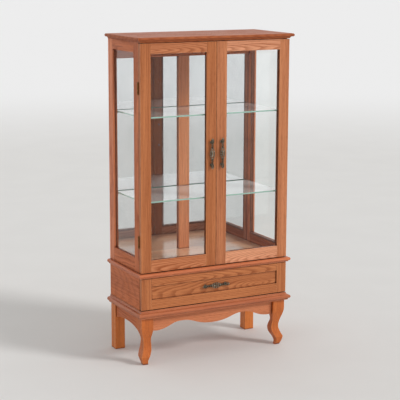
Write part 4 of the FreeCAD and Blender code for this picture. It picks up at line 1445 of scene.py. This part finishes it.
@dataclass
class Studio:
    """The floor, the soft light and the camera."""

    floor_half: float = 60.0
    paper: Colour = (0.80, 0.79, 0.77, 1.0)
    paper_fibre: Colour = (0.785, 0.775, 0.755, 1.0)
    paper_rough: float = 0.9
    fibres: Layer = Layer((3.0, 3.0, 3.0), 4.0, 0.3, 0.7)
    camera_place: Point = (-2.4951, -4.7661, 1.7070)
    yaw: float = 27.654
    pitch: float = 11.028
    roll: float = 0.191
    lens: float = 113.87
    sensor: float = 36.0
    clip_end: float = 400.0
    key_from: Point = (2.9, -3.6, 2.9)
    key_softness: float = 14.0
    key_strength: float = 1.45
    ambient: Colour = (0.62, 0.62, 0.62, 1.0)
    far_paper: Colour = (0.97, 0.97, 0.97, 1.0)
    low_wall: Colour = (0.88, 0.88, 0.87, 1.0)
    wall_foot: Pair = (0.0, 0.12)
    sweep: Pair = (5.0, 11.0)

    def build(self) -> None:
        """Build the floor, the world, the lamps and the camera."""
        self.lay_floor()
        self.light_world()
        self.hang_key()
        self.set_camera()
        bpy.context.scene.view_settings.view_transform = "Standard"

    def seen(self, graph: Graph) -> Socket:
        """Say where the camera, metal and glass see a surface.

        Args:
            graph: The tree that asks.

        Returns:
            1 for those rays and 0 for the rays that only bring light.
        """
        path = graph.node("ShaderNodeLightPath").outputs
        seen = graph.math("MAXIMUM", path["Is Camera Ray"], path["Is Glossy Ray"])
        return graph.math("MAXIMUM", seen, path["Is Transmission Ray"])

    def lay_floor(self) -> None:
        """Lay a wide pale floor of seamless paper."""
        mesh = bmesh.new()
        bmesh.ops.create_grid(mesh, x_segments=2, y_segments=2, size=self.floor_half)
        data = bpy.data.meshes.new("studio_floor")
        mesh.to_mesh(data)
        mesh.free()
        floor = linked("studio_floor", data)
        skin = Skin("seamless_paper")
        tint = skin.mix(self.paper, self.paper_fibre, skin.layer(skin.place(), self.fibres))
        away = skin.node("ShaderNodeVectorMath", {0: skin.place()}, operation="LENGTH")
        sweep = skin.spread(away.outputs["Value"], *self.sweep)
        colour = skin.mix(tint, self.far_paper, sweep)
        skin.set(Base_Color=colour, Roughness=self.paper_rough)
        data.materials.append(skin.material)
        LOG.info("studio floor laid")

    def light_world(self) -> None:
        """Fill the room with soft light, and show it pale behind the object."""
        world = bpy.data.worlds.new("studio_room")
        bpy.context.scene.world = world
        world.use_nodes = True
        world.node_tree.nodes.clear()
        graph = Graph(world.node_tree)
        height = graph.split(graph.node("ShaderNodeTexCoord").outputs["Generated"])[2]
        wall = graph.mix(self.low_wall, self.far_paper, graph.spread(height, *self.wall_foot))
        colour = graph.mix(self.ambient, wall, self.seen(graph))
        room = graph.node("ShaderNodeBackground", {"Color": colour, "Strength": 1.0})
        graph.node("ShaderNodeOutputWorld", {"Surface": room.outputs[0]})

    def hang_key(self) -> None:
        """Set the key light to the right of the camera, high up, and out of the mirrors."""
        data = bpy.data.lights.new("key_light", "SUN")
        data.energy = self.key_strength
        data.angle = math.radians(self.key_softness)
        lamp = linked("key_light", data)
        lamp.location = self.key_from
        lamp.rotation_euler = (-Vector(self.key_from)).to_track_quat("-Z", "Y").to_euler()
        lamp.visible_glossy = False
        lamp.visible_transmission = False

    def set_camera(self) -> None:
        """Set the camera at the photograph's angle."""
        yaw, pitch, roll = (math.radians(a) for a in (self.yaw, self.pitch, self.roll))
        out = math.cos(pitch)
        ahead = Vector((math.sin(yaw) * out, math.cos(yaw) * out, -math.sin(pitch)))
        level = Vector((math.cos(yaw), -math.sin(yaw), 0.0))
        above = level.cross(ahead)
        right = level * math.cos(roll) + above * math.sin(roll)
        up = above * math.cos(roll) - level * math.sin(roll)
        data = bpy.data.cameras.new("studio_camera")
        data.sensor_width = self.sensor
        data.lens = self.lens
        data.clip_end = self.clip_end
        camera = linked("studio_camera", data)
        turn = Matrix((right, up, -ahead)).transposed().to_4x4()
        camera.matrix_world = Matrix.Translation(Vector(self.camera_place)) @ turn
        bpy.context.scene.camera = camera


def main() -> None:
    """Build the studio and dress the cabinet from the floor up."""
    logging.basicConfig(level=logging.INFO, format="%(name)s: %(message)s")
    Studio().build()
    Stand().dress()
    DrawerCase().dress()
    DisplayCase().dress()
    doors = (
        # The right door takes lighter copies and the left top rail a darker one: painted light and
        # shade.
        Door(Side.LEFT, 14.0, FRONT_OAK, SHADED_LEFT_TOP_RAIL_OAK, RAIL_OAK),
        Door(Side.RIGHT, 18.5, LIT_RIGHT_DOOR_OAK, LIT_RIGHT_RAIL_OAK, LIT_RIGHT_RAIL_OAK),
    )
    for door in doors:
        door.dress()
        door.build()
    drawer = Drawer()
    drawer.dress()
    drawer.build()


if __name__ == "__main__":
    main()
